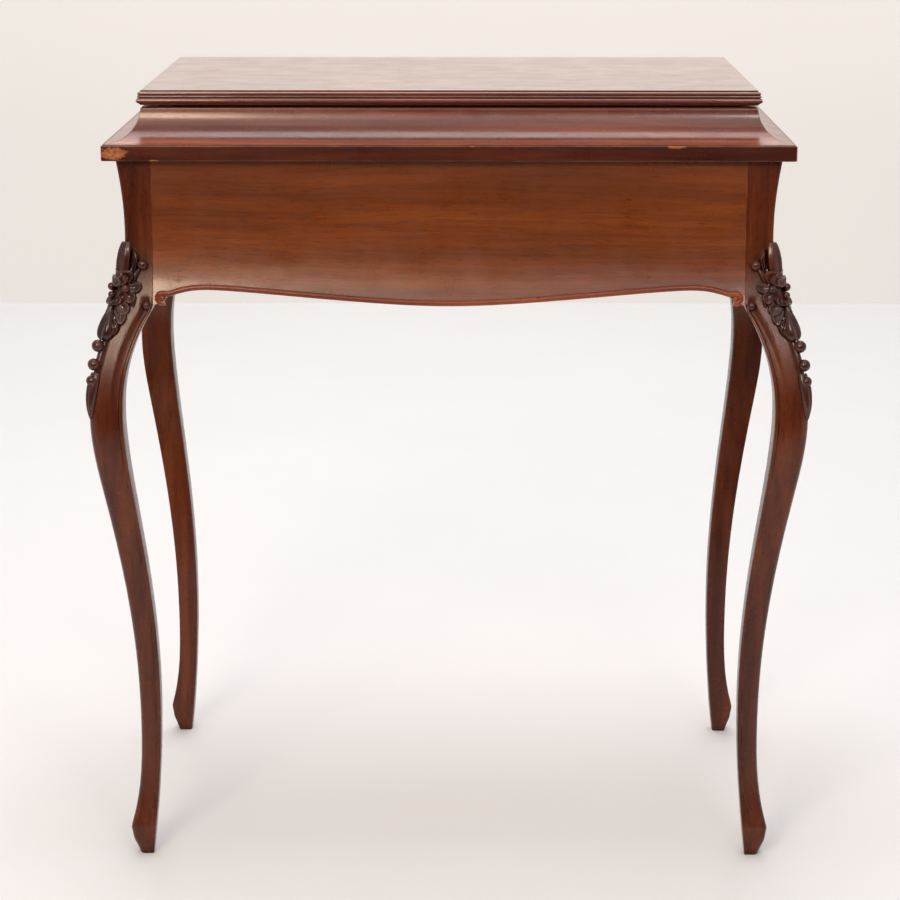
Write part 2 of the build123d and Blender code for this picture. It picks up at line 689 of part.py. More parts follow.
def make_hinges():
    """Both hinges: a case leaf, a lid leaf and a pin each, and the screws of each kind of leaf."""
    for name, middle in zip(("left", "right"), hinge_middles()):
        make_leaf(f"hinge_{name}_case_leaf", middle, CASE_LEAF_TOP - HINGE_LEAF_THICKNESS,
                  (-1, 1), CASE_LEAF_TOP, 1)
        make_leaf(f"hinge_{name}_lid_leaf", middle, LID_LEAF_LOW, (0,), LID_LEAF_LOW, -1)
        make_pin(f"hinge_{name}_pin", middle)
    make_screws("hinge_case_screws", CASE_LEAF_TOP, 1)
    make_screws("hinge_lid_screws", LID_LEAF_LOW, -1)


# ---------------------------------------------------------------- the whole table
make_lid_board()
for lid_side in (FRONT, LEFT, RIGHT):
    make_lid_edge(lid_side)
for case_side in SIDES:
    make_cove(case_side)
    make_band(case_side)
    make_apron(case_side)
    make_bead(case_side)
    make_ledge(case_side)
for corner, signs in CORNERS.items():
    make_leg(corner, *signs)
make_bottom_panel()
make_glue_blocks()
make_tray_bottom()
for wall_name, wall_sign in (("front", -1), ("back", 1)):
    make_tray_long_wall(wall_name, wall_sign)
for wall_name, wall_sign in (("left", -1), ("right", 1)):
    make_tray_short_wall(wall_name, wall_sign)
    make_small_lid(wall_name, wall_sign)
    make_knob(wall_name, wall_sign)
make_dividers()
make_pincushion()
make_hinges()
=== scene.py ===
"""Looks of a work table with cabriole legs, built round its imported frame.

Metres, in the frame's own axes: the floor is z = 0, +Z is up and the front faces -Y. Sizes
in the dataclasses are millimetres, because a cabinet maker reads them that way, and MM turns
them to metres where a mesh is made.
"""
import json
import logging
import math
from dataclasses import dataclass, field
from enum import Enum

import bmesh
import bpy
import numpy as np
from mathutils import Matrix, Vector, noise

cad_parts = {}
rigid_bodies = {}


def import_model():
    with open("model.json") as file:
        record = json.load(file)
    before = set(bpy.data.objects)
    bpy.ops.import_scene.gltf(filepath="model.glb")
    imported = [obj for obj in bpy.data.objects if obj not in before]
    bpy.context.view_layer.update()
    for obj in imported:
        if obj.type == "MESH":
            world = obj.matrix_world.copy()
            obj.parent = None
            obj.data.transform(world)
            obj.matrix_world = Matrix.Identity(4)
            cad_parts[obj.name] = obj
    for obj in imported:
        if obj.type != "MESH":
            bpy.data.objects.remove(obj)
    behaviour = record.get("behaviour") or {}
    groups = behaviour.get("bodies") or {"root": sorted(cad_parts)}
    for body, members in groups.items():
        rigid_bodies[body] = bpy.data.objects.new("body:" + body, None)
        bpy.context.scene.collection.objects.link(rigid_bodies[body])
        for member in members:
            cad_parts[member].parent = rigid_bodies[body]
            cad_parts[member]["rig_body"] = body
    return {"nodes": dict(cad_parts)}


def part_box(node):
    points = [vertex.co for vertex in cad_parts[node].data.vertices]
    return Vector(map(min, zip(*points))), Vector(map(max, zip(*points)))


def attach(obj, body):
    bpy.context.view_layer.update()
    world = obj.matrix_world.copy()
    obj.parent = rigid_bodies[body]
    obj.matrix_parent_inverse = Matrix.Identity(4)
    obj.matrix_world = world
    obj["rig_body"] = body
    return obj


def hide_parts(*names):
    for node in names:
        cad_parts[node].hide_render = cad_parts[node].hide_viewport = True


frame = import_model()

MM = 0.001
SIDES = ("left", "right")
FACES = ("front", "back", "left", "right")
LOG = logging.getLogger("work_table")

Tree = bpy.types.NodeTree
Node = bpy.types.Node
Socket = bpy.types.NodeSocket
Material = bpy.types.Material
Piece = bpy.types.Object
Mesh = bpy.types.Mesh
BMesh = bmesh.types.BMesh


# ------------------------------------------------------------------ small tools
def linear(colour: str) -> tuple[float, float, float, float]:
    """Turns an sRGB hex colour to linear light.

    Args:
        colour: "#rrggbb".

    Returns:
        Red, green, blue and alpha, from 0 to 1.
    """
    channels = [int(colour[i:i + 2], 16) / 255 for i in (1, 3, 5)]
    lit = [c / 12.92 if c <= 0.04045 else ((c + 0.055) / 1.055) ** 2.4 for c in channels]
    return (*lit, 1.0)


def feed(tree: Tree, node: Node, links: dict) -> None:
    """Links each output socket to the node's input of that name or index."""
    for key, socket in links.items():
        tree.links.new(socket, node.inputs[key])


def add(tree: Tree, kind: str, links: dict | None = None, values: dict | None = None,
        **settings: object) -> Node:
    """Adds one node with its settings and links.

    Args:
        tree: node tree it goes in.
        kind: the node's type name.
        links: input name or index to the output socket that feeds it.
        values: input name or index to a constant.
        settings: properties of the node itself.

    Returns:
        The new node.
    """
    node = tree.nodes.new(kind)
    for key, value in settings.items():
        setattr(node, key, value)
    for key, value in (values or {}).items():
        node.inputs[key].default_value = value
    feed(tree, node, links or {})
    return node


def ramp(tree: Tree, factor: Socket,
         stops: list[tuple[float, tuple]]) -> Socket:
    """Adds a colour ramp and sets its stops.

    Args:
        tree: node tree it goes in.
        factor: socket that drives it.
        stops: (position, linear colour), in order.

    Returns:
        The ramp's colour socket.
    """
    node = add(tree, "ShaderNodeValToRGB", {"Fac": factor})
    elements = node.color_ramp.elements
    while len(elements) < len(stops):
        elements.new(0.5)
    for element, (position, colour) in zip(elements, stops):
        element.position = position
        element.color = colour
    return node.outputs["Color"]


def grey(value: float) -> tuple[float, float, float, float]:
    """A neutral linear colour, for masks and multipliers."""
    return (value, value, value, 1.0)


def new_material(name: str, values: dict) -> tuple[Material, Tree, Node, Socket]:
    """Makes a material with a Principled shader joined to its output.

    Args:
        name: the finish's name.
        values: constants on the shader's own sockets.

    Returns:
        The material, its tree, its shader node and the socket of the object coordinates.
    """
    material = bpy.data.materials.new(name)
    material.use_nodes = True
    tree = material.node_tree
    tree.nodes.clear()
    shader = add(tree, "ShaderNodeBsdfPrincipled", values=values)
    add(tree, "ShaderNodeOutputMaterial", {"Surface": shader.outputs["BSDF"]})
    return material, tree, shader, add(tree, "ShaderNodeTexCoord").outputs["Object"]


def mesh_object(name: str, mesh: Mesh) -> Piece:
    """Links a mesh into the scene as an object at the origin."""
    piece = bpy.data.objects.new(name, mesh)
    bpy.context.scene.collection.objects.link(piece)
    return piece


def from_bmesh(name: str, work: BMesh) -> Mesh:
    """Writes a bmesh to a new mesh and frees it."""
    mesh = bpy.data.meshes.new(name)
    work.to_mesh(mesh)
    work.free()
    return mesh


def bmesh_object(name: str, work: BMesh) -> Piece:
    """Makes an object of a bmesh, at the origin, and frees the bmesh."""
    return mesh_object(name, from_bmesh(name, work))


def loft(work: BMesh, rings: list[list], first: bool = True) -> None:
    """Joins closed rings of vertices into a skin with capped ends.

    Args:
        work: mesh that it joins.
        rings: the rings in order, each with the same number of vertices.
        first: False to leave the first ring open.
    """
    for lower, upper in zip(rings, rings[1:]):
        for j in range(len(lower)):
            k = (j + 1) % len(lower)
            work.faces.new((lower[j], lower[k], upper[k], upper[j]))
    if first:
        work.faces.new(rings[0])
    work.faces.new(list(reversed(rings[-1])))


def turned_rings(work: BMesh, axis: Vector, profile: list[tuple], count: int) -> list[list]:
    """Rings of a shape turned on a lathe.

    Args:
        work: mesh that they join.
        axis: any point on its upright axis, metres.
        profile: radius and level of each ring, metres.
        count: vertices in a ring.

    Returns:
        The rings, in the order of the profile.
    """
    angles = [2 * math.pi * k / count for k in range(count)]
    return [[work.verts.new((axis.x + radius * math.cos(a), axis.y + radius * math.sin(a), level))
             for a in angles] for radius, level in profile]


def modify(piece: Piece, name: str, kind: str, **settings: object) -> None:
    """Adds one modifier with its settings.

    Args:
        piece: object that it shapes.
        name: the modifier's name.
        kind: its type.
        settings: its properties.
    """
    modifier = piece.modifiers.new(name, kind)
    for key, value in settings.items():
        setattr(modifier, key, value)


def applied(piece: Piece) -> Piece:
    """Turns a piece with its modifiers into a plain mesh.

    Args:
        piece: an object with live modifiers.

    Returns:
        The same object, with the result as its mesh and no modifier left.
    """
    bpy.context.view_layer.update()
    graph = bpy.context.evaluated_depsgraph_get()
    mesh = bpy.data.meshes.new_from_object(piece.evaluated_get(graph))
    mesh.name = piece.name
    piece.modifiers.clear()
    piece.data = mesh
    return piece


def soften(mesh: Mesh, degrees: float = 38.0) -> None:
    """Shades a mesh smooth and keeps its arrises sharp.

    Args:
        mesh: mesh to shade.
        degrees: edges that turn more than this stay sharp.
    """
    mesh.shade_smooth()
    mesh.set_sharp_from_angle(angle=math.radians(degrees))


def body_of_node(node: str) -> str:
    """The CAD body that a node rides on."""
    return frame["nodes"][node]["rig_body"]


def stand_for(piece: Piece, *nodes: str) -> None:
    """Puts a finished piece in place of CAD nodes, on their body, and hides the nodes.

    Args:
        piece: the finished object, at the origin.
        nodes: CAD nodes that it stands for, all on one body.
    """
    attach(piece, body_of_node(nodes[0]))
    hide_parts(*nodes)
    triangles = sum(len(polygon.vertices) - 2 for polygon in piece.data.polygons)
    LOG.info("%s on %s: %d triangles", piece.name, body_of_node(nodes[0]), triangles)


def paint(piece: Piece, *materials: Material) -> None:
    """Gives an object its materials, in order, and keeps which face takes which."""
    mesh = piece.data
    chosen = [polygon.material_index for polygon in mesh.polygons]
    mesh.materials.clear()
    for material in materials:
        mesh.materials.append(material)
    if len(materials) > 1:
        mesh.polygons.foreach_set("material_index", chosen)


# ------------------------------------------------------------------ finishes
class Grain(Enum):
    """Which way the fibres of a piece run."""

    ALONG_X = 0
    ALONG_Y = 1
    ALONG_Z = 2

    def stretch(self, length: float, width: float) -> tuple[float, ...]:
        """Pattern scale for marks of a real size.

        Args:
            length: length of one mark along the fibres, mm.
            width: its width across them, mm.

        Returns:
            Repeats per metre along X, Y and Z.
        """
        return tuple(1000 / (length if axis == self.value else width) for axis in range(3))


@dataclass(frozen=True)
class Patch:
    """A place where the veneer has chipped off: centre in metres, half sizes in mm."""

    centre: tuple[float, float, float]
    half: tuple[float, float, float]


@dataclass(frozen=True)
class PolishedWood:
    """Mahogany or walnut, planed along the fibres, stained and french polished.

    The eye sees long soft figure, fine dark pores, a gloss that wanders a little because old
    polish is never flat, dirt and painted shade in the crevices and a lighter line where the arrises are
    worn.
    """

    name: str
    grain: Grain
    dark: str
    body: str
    light: str
    worn: str = "#a5632f"        # on the arrises
    bare: str = "#a8663a"        # ground wood inside a chip
    torn: str = "#74411f"        # the same, where its fibres stand up
    # colour of the dirt and painted shade laid in the crevices by ambient occlusion
    crevice_dirt_and_shade_colour: str = "#170a06"
    figure_length: float = 420.0
    figure_width: float = 15.0
    streak_width: float = 2.4
    pore_length: float = 14.0
    pore_width: float = 0.8      # real pores are 0.3 mm; drawn coarser, so that they show
    roughness: float = 0.3
    gloss: float = 0.5           # specular level
    coat: float = 0.35
    coat_roughness: float = 0.12
    wear: float = 0.55
    # strength and reach, mm, of that dirt and painted shade in the crevices
    crevice_dirt_and_shade: float = 0.8
    crevice_dirt_and_shade_reach: float = 9.0
    bare_roughness: float = 0.75
    shift: float = 0.0           # where in the pattern this board was sawn
    patches: tuple[Patch, ...] = field(default_factory=tuple)

    def build(self) -> Material:
        """Makes the material."""
        material, tree, shader, place = new_material(self.name, {
            "Coat Weight": self.coat, "Coat Roughness": self.coat_roughness,
            "Specular IOR Level": self.gloss, "IOR": 1.5})
        fibres = self._bend(tree, place)
        figure = self._marks(tree, fibres, self.figure_length, self.figure_width, 4.0)
        colour = ramp(tree, figure, [(0.3, linear(self.dark)), (0.5, linear(self.body)),
                                     (0.7, linear(self.light))])
        broad = self._marks(tree, fibres, 700.0, 70.0, 1.0)
        colour = self._times(tree, colour, ramp(tree, broad, [(0.3, grey(0.88)), (0.7, grey(1.12))]))
        streak = self._marks(tree, fibres, 170.0, self.streak_width, 2.0)
        colour = self._times(tree, colour, ramp(tree, streak, [(0.34, grey(0.85)), (0.58, grey(1.04))]))
        pores = self._marks(tree, fibres, self.pore_length, self.pore_width, 1.0)
        pits = ramp(tree, pores, [(0.33, grey(0.0)), (0.42, grey(1.0))])
        colour = self._times(tree, colour, ramp(tree, pits, [(0.0, grey(0.68)), (1.0, grey(1.0))]))
        colour = self._worn_edges(tree, place, colour)
        # painted shade and dirt in the crevices, from ambient occlusion
        colour = self._dirt_and_painted_shade(tree, colour)
        sheen = add(tree, "ShaderNodeTexNoise", {"Vector": fibres},
                    {"Scale": 34.0, "Detail": 3.0}).outputs["Fac"]
        rough = add(tree, "ShaderNodeMapRange", {"Value": sheen},
                    {"From Min": 0.2, "From Max": 0.8, "To Min": self.roughness - 0.07,
                     "To Max": self.roughness + 0.08}).outputs["Result"]
        for patch in self.patches:
            colour, rough = self._chip(tree, place, patch, colour, rough)
        feed(tree, shader, {"Base Color": colour, "Roughness": rough,
                            "Normal": self._relief(tree, place, pits)})
        return material

    def _bend(self, tree: Tree, place: Socket) -> Socket:
        """Lets the fibres wander by a few millimetres, as sawn stock shows them."""
        wander = add(tree, "ShaderNodeTexNoise", {"Vector": place}, {"Scale": 4.5, "Detail": 1.0})
        centred = add(tree, "ShaderNodeVectorMath", {0: wander.outputs["Color"]},
                      {1: (0.5, 0.5, 0.5)}, operation="SUBTRACT")
        small = add(tree, "ShaderNodeVectorMath", {0: centred.outputs["Vector"]},
                    {"Scale": 0.022}, operation="SCALE")
        moved = add(tree, "ShaderNodeVectorMath", {0: place, 1: small.outputs["Vector"]},
                    operation="ADD")
        return moved.outputs["Vector"]

    def _marks(self, tree: Tree, fibres: Socket, length: float,
               width: float, detail: float) -> Socket:
        """Noise drawn out along the fibres.

        Args:
            tree: node tree.
            fibres: wandering coordinates.
            length: length of one mark, mm.
            width: width of one mark, mm.
            detail: octaves.

        Returns:
            A factor socket.
        """
        mapped = add(tree, "ShaderNodeMapping", {"Vector": fibres},
                     {"Location": (self.shift, self.shift * 0.7, self.shift * 1.3),
                      "Scale": self.grain.stretch(length, width)})
        return add(tree, "ShaderNodeTexNoise", {"Vector": mapped.outputs["Vector"]},
                   {"Scale": 1.0, "Detail": detail, "Roughness": 0.55,
                    "Distortion": 0.1}).outputs["Fac"]

    @staticmethod
    def _times(tree: Tree, one: Socket,
               two: Socket) -> Socket:
        """Multiplies two colours."""
        return add(tree, "ShaderNodeMix", {6: one, 7: two}, {"Factor": 1.0}, data_type="RGBA",
                   blend_type="MULTIPLY").outputs[2]

    @staticmethod
    def _blend(tree: Tree, factor: Socket, one: Socket,
               colour: tuple) -> Socket:
        """Mixes a colour socket towards a fixed colour by a factor."""
        return add(tree, "ShaderNodeMix", {"Factor": factor, 6: one}, {7: colour},
                   data_type="RGBA").outputs[2]

    def _worn_edges(self, tree: Tree, place: Socket,
                    colour: Socket) -> Socket:
        """Lightens the arrises in patches, where hands and dusters have worn them."""
        round_normal = add(tree, "ShaderNodeBevel", values={"Radius": 1.3 * MM}, samples=4)
        true_normal = add(tree, "ShaderNodeNewGeometry")
        alike = add(tree, "ShaderNodeVectorMath", {0: round_normal.outputs["Normal"],
                                                   1: true_normal.outputs["Normal"]},
                    operation="DOT_PRODUCT")
        edge = add(tree, "ShaderNodeMapRange", {"Value": alike.outputs["Value"]},
                   {"From Min": 0.995, "From Max": 0.86, "To Min": 0.0, "To Max": self.wear})
        patchy = add(tree, "ShaderNodeTexNoise", {"Vector": place},
                     {"Scale": 45.0, "Detail": 3.0}).outputs["Fac"]
        mask = add(tree, "ShaderNodeMapRange", {"Value": patchy},
                   {"From Min": 0.42, "From Max": 0.62}).outputs["Result"]
        both = add(tree, "ShaderNodeMath", {0: edge.outputs["Result"], 1: mask},
                   operation="MULTIPLY")
        return self._blend(tree, both.outputs["Value"], colour, linear(self.worn))

    def _dirt_and_painted_shade(self, tree: Tree,
               colour: Socket) -> Socket:
        """Darkens the crevices by ambient occlusion: dirt where wax and dust collect, and painted shade."""
        open_sky = add(tree, "ShaderNodeAmbientOcclusion", values={"Distance": self.crevice_dirt_and_shade_reach * MM},
                       samples=6)
        dirt_and_shade_mask = add(tree, "ShaderNodeMapRange", {"Value": open_sky.outputs["AO"]},
                   {"From Min": 0.85, "From Max": 0.3, "To Min": 0.0, "To Max": self.crevice_dirt_and_shade})
        return self._blend(tree, dirt_and_shade_mask.outputs["Result"], colour, linear(self.crevice_dirt_and_shade_colour))

    def _chip(self, tree: Tree, place: Socket, patch: Patch,
              colour: Socket, rough: Socket) -> tuple:
        """Shows bare, orange ground wood inside a ragged patch.

        Args:
            tree: node tree.
            place: object coordinates.
            patch: where and how large.
            colour: colour so far.
            rough: roughness so far.

        Returns:
            The new colour and roughness sockets.
        """
        scale = tuple(1000 / half for half in patch.half)
        back = tuple(-c * s for c, s in zip(patch.centre, scale))
        local = add(tree, "ShaderNodeMapping", {"Vector": place}, {"Location": back, "Scale": scale})
        reach = add(tree, "ShaderNodeVectorMath", {0: local.outputs["Vector"]}, operation="LENGTH")
        ragged = add(tree, "ShaderNodeTexNoise", {"Vector": place}, {"Scale": 330.0, "Detail": 4.0})
        total = add(tree, "ShaderNodeMath", {0: ragged.outputs["Fac"], 2: reach.outputs["Value"]},
                    {1: 1.8}, operation="MULTIPLY_ADD")
        inside = add(tree, "ShaderNodeMapRange", {"Value": total.outputs["Value"]},
                     {"From Min": 1.82, "From Max": 1.68}).outputs["Result"]
        torn = ramp(tree, ragged.outputs["Fac"], [(0.35, linear(self.torn)), (0.6, linear(self.bare))])
        bare = add(tree, "ShaderNodeMix", {"Factor": inside, 6: colour, 7: torn}, data_type="RGBA")
        matt = add(tree, "ShaderNodeMix", {"Factor": inside, 2: rough}, {3: self.bare_roughness})
        return bare.outputs[2], matt.outputs[0]

    def _relief(self, tree: Tree, place: Socket,
                pits: Socket) -> Socket:
        """Pores pressed in by hundredths of a millimetre, under slow waves in the polish."""
        waves = add(tree, "ShaderNodeTexNoise", {"Vector": place}, {"Scale": 22.0, "Detail": 2.0})
        slow = add(tree, "ShaderNodeBump", {"Height": waves.outputs["Fac"]},
                   {"Strength": 0.35, "Distance": 0.6 * MM})
        fine = add(tree, "ShaderNodeBump", {"Height": pits, "Normal": slow.outputs["Normal"]},
                   {"Strength": 0.25, "Distance": 0.06 * MM})
        return fine.outputs["Normal"]


@dataclass(frozen=True)
class AgedBrass:
    """Rolled and cast brass, handled for a century: dull gold with brown tarnish in patches."""

    name: str = "aged_brass"
    metal: str = "#c49a52"
    tarnish: str = "#5a4020"

    def build(self) -> Material:
        """Makes the material."""
        material, tree, shader, place = new_material(self.name, {"Metallic": 1.0})
        cloud = add(tree, "ShaderNodeTexNoise", {"Vector": place}, {"Scale": 120.0, "Detail": 5.0})
        colour = ramp(tree, cloud.outputs["Fac"], [(0.4, linear(self.metal)),
                                                   (0.66, linear(self.tarnish))])
        rough = add(tree, "ShaderNodeMapRange", {"Value": cloud.outputs["Fac"]},
                    {"From Min": 0.35, "From Max": 0.7, "To Min": 0.28, "To Max": 0.55})
        brush = add(tree, "ShaderNodeMapping", {"Vector": place}, {"Scale": (60.0, 2200.0, 2200.0)})
        lines = add(tree, "ShaderNodeTexNoise", {"Vector": brush.outputs["Vector"]}, {"Scale": 1.0})
        bump = add(tree, "ShaderNodeBump", {"Height": lines.outputs["Fac"]},
                   {"Strength": 0.25, "Distance": 0.05 * MM})
        feed(tree, shader, {"Base Color": colour, "Roughness": rough.outputs["Result"],
                            "Normal": bump.outputs["Normal"]})
        return material


@dataclass(frozen=True)
class CottonVelvet:
    """Cut-pile cotton velvet: deep red, light at grazing angles, with the nap brushed in patches."""

    name: str = "cotton_velvet"
    deep: str = "#3a0810"
    raised: str = "#7c1a26"

    def build(self) -> Material:
        """Makes the material."""
        material, tree, shader, place = new_material(self.name, {
            "Roughness": 0.95, "Sheen Weight": 0.8, "Sheen Roughness": 0.4})
        nap = add(tree, "ShaderNodeTexNoise", {"Vector": place}, {"Scale": 55.0, "Detail": 4.0})
        pile = add(tree, "ShaderNodeTexVoronoi", {"Vector": place}, {"Scale": 1400.0})
        colour = ramp(tree, nap.outputs["Fac"], [(0.35, linear(self.deep)), (0.65, linear(self.raised))])
        bump = add(tree, "ShaderNodeBump", {"Height": pile.outputs["Distance"]},
                   {"Strength": 0.6, "Distance": 0.25 * MM})
        feed(tree, shader, {"Base Color": colour, "Normal": bump.outputs["Normal"]})
        return material


@dataclass(frozen=True)
class TurnedBone:
    """Bone turned on a small lathe: cream, with fine brown flecks and a soft hand polish."""

    name: str = "turned_bone"
    pale: str = "#d8c9a4"
    fleck: str = "#9a7c50"

    def build(self) -> Material:
        """Makes the material."""
        material, tree, shader, place = new_material(self.name, {
            "Roughness": 0.34, "Subsurface Weight": 0.15,
            "Subsurface Radius": (2 * MM, 1.5 * MM, 1 * MM)})
        drawn = add(tree, "ShaderNodeMapping", {"Vector": place}, {"Scale": (900.0, 900.0, 220.0)})
        fleck = add(tree, "ShaderNodeTexNoise", {"Vector": drawn.outputs["Vector"]},
                    {"Scale": 1.0, "Detail": 3.0})
        colour = ramp(tree, fleck.outputs["Fac"], [(0.52, linear(self.pale)), (0.72, linear(self.fleck))])
        bump = add(tree, "ShaderNodeBump", {"Height": fleck.outputs["Fac"]},
                   {"Strength": 0.2, "Distance": 0.05 * MM})
        feed(tree, shader, {"Base Color": colour, "Normal": bump.outputs["Normal"]})
        return material


# ------------------------------------------------------------------ geometry node trees
def node_group(name: str, **sockets: str) -> tuple:
    """Starts a geometry node tree with named inputs.

    Args:
        name: the tree's name.
        sockets: input name to socket type, between the geometry and the material.

    Returns:
        The tree, its input node and a function that closes it with the last geometry socket.
    """
    tree = bpy.data.node_groups.new(name, "GeometryNodeTree")
    tree.interface.new_socket(name="Geometry", in_out="INPUT", socket_type="NodeSocketGeometry")
    for label, kind in {**sockets, "Material": "Material"}.items():
        tree.interface.new_socket(name=label, in_out="INPUT", socket_type="NodeSocket" + kind)
    tree.interface.new_socket(name="Geometry", in_out="OUTPUT", socket_type="NodeSocketGeometry")
    start = add(tree, "NodeGroupInput")

    def close(last: Socket) -> None:
        """Realizes the instances, smooths and dresses them, and joins the output."""
        real = add(tree, "GeometryNodeRealizeInstances", {"Geometry": last})
        smooth = add(tree, "GeometryNodeSetShadeSmooth", {"Geometry": real.outputs["Geometry"]})
        dressed = add(tree, "GeometryNodeSetMaterial", {"Geometry": smooth.outputs["Geometry"],
                                                        "Material": start.outputs["Material"]})
        add(tree, "NodeGroupOutput", {"Geometry": dressed.outputs["Geometry"]})

    return tree, start, close


def run_group(piece: Piece, tree: Tree, **inputs: object) -> Piece:
    """Puts a tree on a piece, sets its inputs by their identifiers and applies it.

    Args:
        piece: object that carries the points or the path.
        tree: geometry node tree.
        inputs: input name to value.

    Returns:
        The piece as a plain mesh.
    """
    modifier = piece.modifiers.new(tree.name, "NODES")
    modifier.node_group = tree
    for item in tree.interface.items_tree:
        if item.in_out == "INPUT" and item.name in inputs:
            modifier[item.identifier] = inputs[item.name]
    return applied(piece)


def bead_group() -> Tree:
    """A ball on every point, as large as the point's radius attribute says."""
    tree, start, close = node_group("beads_on_points", Segments="Int")
    ball = add(tree, "GeometryNodeMeshUVSphere", {"Segments": start.outputs["Segments"],
                                                  "Rings": start.outputs["Segments"]}, {"Radius": 1.0})
    size = add(tree, "GeometryNodeInputNamedAttribute", data_type="FLOAT", values={"Name": "radius"})
    beads = add(tree, "GeometryNodeInstanceOnPoints",
                {"Points": start.outputs["Geometry"], "Instance": ball.outputs["Mesh"],
                 "Scale": size.outputs["Attribute"]})
    close(beads.outputs["Instances"])
    return tree


def moulding_group() -> Tree:
    """A rounded bead swept along a flat path; its profile never twists."""
    tree, start, close = node_group("bead_along_path", Height="Float", Reach="Float")
    path = add(tree, "GeometryNodeMeshToCurve", {"Mesh": start.outputs["Geometry"]})
    ring = add(tree, "GeometryNodeCurvePrimitiveCircle", values={"Resolution": 20, "Radius": 1.0})
    half = add(tree, "ShaderNodeMath", {0: start.outputs["Height"]}, {1: 0.5}, operation="MULTIPLY")
    size = add(tree, "ShaderNodeCombineXYZ", {"X": start.outputs["Reach"], "Y": half.outputs["Value"]},
               {"Z": 1.0})
    oval = add(tree, "GeometryNodeTransform", {"Geometry": ring.outputs["Curve"],
                                               "Scale": size.outputs["Vector"]})
    swept = add(tree, "GeometryNodeCurveToMesh", {"Curve": path.outputs["Curve"],
                                                  "Profile Curve": oval.outputs["Geometry"]},
                {"Fill Caps": True})
    close(swept.outputs["Mesh"])
    return tree


def screw_group() -> Tree:
    """A screw on every point, with its slot turned by a seeded random angle."""
    tree, start, close = node_group("screws_on_points", Screw="Object", Facing="Float", Seed="Int")
    shape = add(tree, "GeometryNodeObjectInfo", {"Object": start.outputs["Screw"]})
    turn = add(tree, "FunctionNodeRandomValue", {"Seed": start.outputs["Seed"]}, data_type="FLOAT")
    turn.inputs[2].default_value = 0.0
    turn.inputs[3].default_value = math.pi
    angles = add(tree, "ShaderNodeCombineXYZ", {"X": start.outputs["Facing"], "Z": turn.outputs[1]})
    placed = add(tree, "GeometryNodeInstanceOnPoints",
                 {"Points": start.outputs["Geometry"], "Instance": shape.outputs["Geometry"],
                  "Rotation": angles.outputs["Vector"]})
    close(placed.outputs["Instances"])
    return tree


def points_object(name: str, points: list[Vector], radii: list[float] | None = None,
                  joined: bool = False) -> Piece:
    """An object of bare points, or of a path through them.

    Args:
        name: its name.
        points: places, metres.
        radii: one radius for each point, metres.
        joined: True to join the points in order.

    Returns:
        The object, with a radius attribute if radii is given.
    """
    mesh = bpy.data.meshes.new(name)
    edges = [(i, i + 1) for i in range(len(points) - 1)] if joined else []
    mesh.from_pydata([tuple(p) for p in points], edges, [])
    if radii:
        attribute = mesh.attributes.new("radius", "FLOAT", "POINT")
        attribute.data.foreach_set("value", radii)
    return mesh_object(name, mesh)


# ------------------------------------------------------------------ reading the frame
def node_arrays(node: str) -> tuple[np.ndarray, np.ndarray]:
    """Vertices and triangles of a CAD node, as arrays."""
    mesh = frame["nodes"][node].data
    places = np.empty(len(mesh.vertices) * 3)
    mesh.vertices.foreach_get("co", places)
    mesh.calc_loop_triangles()
    corners = np.empty(len(mesh.loop_triangles) * 3, dtype=np.int64)
    mesh.loop_triangles.foreach_get("vertices", corners)
    return places.reshape(-1, 3), corners.reshape(-1, 3)


def level_cut(places: np.ndarray, triangles: np.ndarray, axis: int, level: float) -> np.ndarray:
    """Points where a plane across one axis cuts the edges of a mesh.

    Args:
        places: vertices.
        triangles: triangles as vertex indices.
        axis: 0, 1 or 2, the plane's normal.
        level: where the plane stands on that axis.

    Returns:
        The cut points, one row each.
    """
    found = []
    for first, second in ((0, 1), (1, 2), (2, 0)):
        one = places[triangles[:, first]]
        two = places[triangles[:, second]]
        below = one[:, axis] <= level
        above = two[:, axis] > level
        crossing = below == above
        one, two = one[crossing], two[crossing]
        share = (level - one[:, axis]) / (two[:, axis] - one[:, axis])
        found.append(one + (two - one) * share[:, None])
    return np.concatenate(found)


def screw_heads(node: str) -> list[tuple[Vector, Vector]]:
    """Lowest and highest corner of each separate screw in a node."""
    work = bmesh.new()
    work.from_mesh(frame["nodes"][node].data)
    bmesh.ops.remove_doubles(work, verts=work.verts, dist=1e-6)
    waiting = set(work.verts)
    boxes = []
    while waiting:
        stack = [waiting.pop()]
        group = []
        while stack:
            vertex = stack.pop()
            group.append(vertex.co.copy())
            for edge in vertex.link_edges:
                other = edge.other_vert(vertex)
                if other in waiting:
                    waiting.remove(other)
                    stack.append(other)
        low = Vector([min(p[i] for p in group) for i in range(3)])
        high = Vector([max(p[i] for p in group) for i in range(3)])
        boxes.append((low, high))
    work.free()
    return sorted(boxes, key=lambda b: tuple(b[0]))


